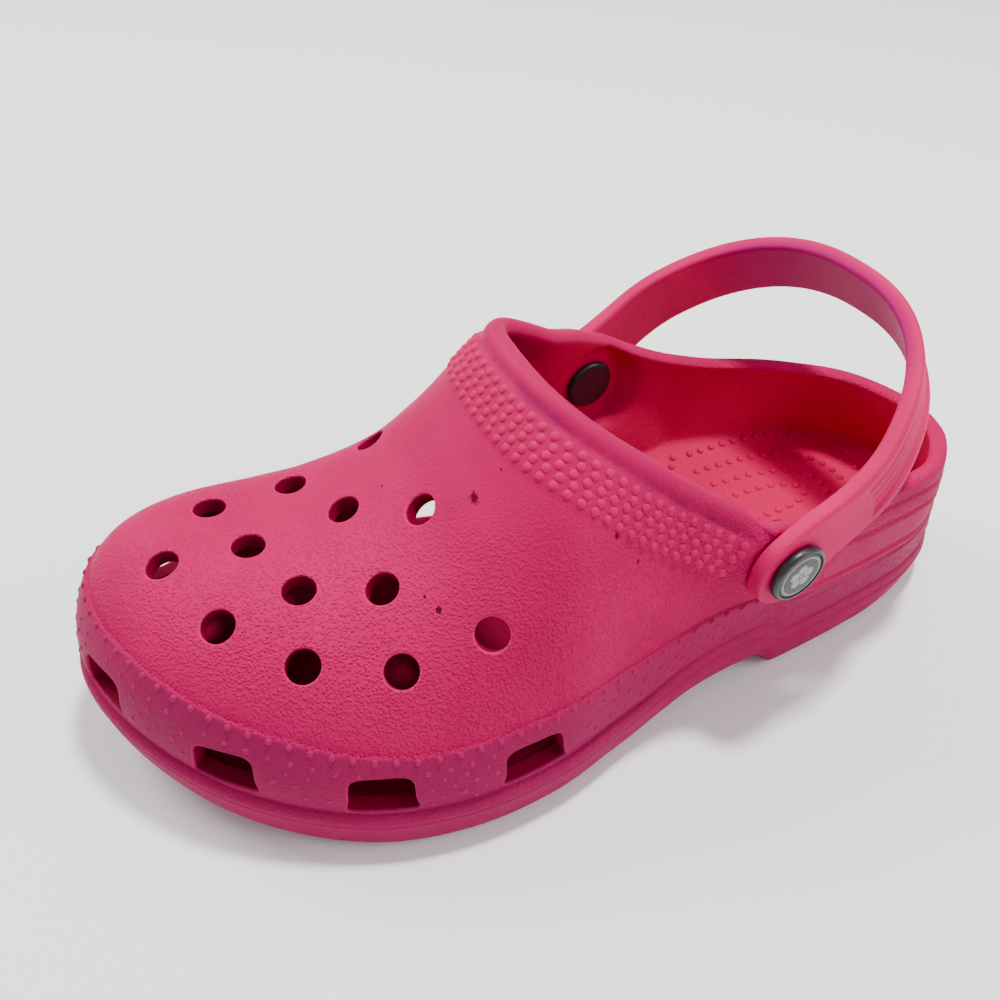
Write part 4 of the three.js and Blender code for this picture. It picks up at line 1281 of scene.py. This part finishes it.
def cap_profile():
    face = -WALL - GAP
    back = face - 1.8
    points = [(0.001, back - 0.25), (5.0, back - 0.1), (7.4, back + 0.15), (8.1, back + 0.9),
              (8.1, face), (4.4, face), (4.4, -GAP), (3.2, -GAP), (3.2, -4.1), (0.001, -4.1)]
    return rounded_profile(points, [2.0, 0.8, 0.6, 0.3, 0.2, 0.2, 0.2, 0.1])


def badge_grid(origin, out):
    """Printed disc: a domed face with an ink ring and a five-petal flower, raised by a tenth of a
    millimetre. Carried value 1 where there is ink."""
    u, v = cross_axes(out)
    sides = 180
    turn = np.arange(sides) / sides * 2 * np.pi
    radius = np.r_[np.linspace(0.12, 5.3, 44), np.linspace(5.4, 7.08, 20)]
    r, a = np.meshgrid(radius, turn, indexing="ij")
    petal = 2.6 + 1.35 * np.abs(np.cos(2.5 * a)) ** 0.75
    flower = ease((petal - r) / 0.16 + 0.5)
    heart = ease((r - 1.05) / 0.14 + 0.5)
    core = 1 - ease((r - 0.62) / 0.14 + 0.5)
    seam = 1 - bell(np.cos(2.5 * a), 0.0, 0.10) * ease((r - 1.2) / 0.3)
    ring = ease((r - 5.95) / 0.12 + 0.5) * (1 - ease((r - 6.45) / 0.12 + 0.5))
    ink = np.clip(flower * heart * seam + core + ring, 0, 1)
    height = FLANGE_TO - 0.05 - 0.15 * (r / 7) ** 2 + 0.10 * ink
    grid = origin + r[..., None] * ring_of(a, u, v) + height[..., None] * out
    build = Build()
    skin = build.add(carry(grid, rand=ink))
    side = []
    for level in (FLANGE_TO - 0.30, FLANGE_TO - 0.9):
        side.append(build.add(carry(origin + BADGE_RADIUS * ring_of(turn, u, v) + level * out)))
    rows = np.concatenate([skin, np.stack(side)], 0)
    j = (np.arange(sides) + 1) % sides
    build.quads(rows[:-1], rows[1:], rows[1:][:, j], rows[:-1][:, j])
    top = build.add(carry((origin + (FLANGE_TO + 0.05) * out)[None], rand=1.0))[0]
    build.fan(rows[0], top, True)
    low = build.add(carry((origin + (FLANGE_TO - 0.9) * out)[None]))[0]
    build.fan(rows[-1], low)
    return build.done()


for (origin, out), place_name in zip(seat_frames(), ("lateral", "medial")):
    for label, made, material, slot in (
            ("button", lathe(button_profile(), origin, out), BLACK, "black_plastic"),
            ("cap", lathe(cap_profile(), origin, out), BLACK, "black_plastic"),
            ("badge", badge_grid(origin, out), PRINT, "badge")):
        piece = make_mesh(f"{label}_{place_name}_visual", *made, material, values=VALUES)
        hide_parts(f"rivet_{label}_{place_name}")
        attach(piece, f"rivet_{place_name}")

points, faces = build_strap()
strap = make_mesh("strap_band", points, faces, STRAP_FOAM, values=VALUES)
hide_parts("heel_strap")
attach(strap, "strap")


# ------------------------------------------------------------------ floor, light and camera
def plain_floor():
    """Pale floor, a little under the tread."""
    half = 3.0
    mesh = bpy.data.meshes.new("studio_floor")
    corners = [(-half, -half, 0), (half, -half, 0), (half, half, 0), (-half, half, 0)]
    mesh.from_pydata(corners, [], [(0, 1, 2, 3)])
    material, _, principled = shader("pale_floor", 0.85, 0.2)
    principled.inputs["Base Color"].default_value = (0.97, 0.97, 0.97, 1)
    mesh.materials.append(material)
    obj = bpy.data.objects.new("studio_floor", mesh)
    bpy.context.scene.collection.objects.link(obj)


def softbox(name, place, target, size, power, colour=(1, 1, 1)):
    light = bpy.data.lights.new(name, "AREA")
    light.shape, light.size, light.energy, light.color = "DISK", size, power, colour
    obj = bpy.data.objects.new(name, light)
    obj.location = place
    obj.rotation_euler = (Vector(target) - Vector(place)).to_track_quat("-Z", "Y").to_euler()
    bpy.context.scene.collection.objects.link(obj)
    return obj


plain_floor()
softbox("ceiling_light", (-0.12, 0.24, 1.30), (0, 0, 0.03), 0.16, 20)
softbox("front_light", (-0.85, -0.70, 0.95), (0, 0, 0.03), 0.7, 16)
softbox("side_light", (0.70, 0.95, 0.85), (0, 0, 0.03), 0.8, 8)
world = bpy.data.worlds.new("studio")
world.use_nodes = True
world.node_tree.nodes["Background"].inputs["Color"].default_value = (1, 1, 1, 1)
world.node_tree.nodes["Background"].inputs["Strength"].default_value = 0.58
bpy.context.scene.world = world

camera_data = bpy.data.cameras.new("camera")
camera_data.lens, camera_data.sensor_width = 36.0, 36.0
camera = bpy.data.objects.new("camera", camera_data)
camera.location = (np.array([183.0, -93.0, 242.2]) + SHIFT) / 1000
camera.rotation_euler = [float(np.radians(a)) for a in (48.407, 0, 68.265)]
bpy.context.scene.collection.objects.link(camera)
bpy.context.scene.camera = camera
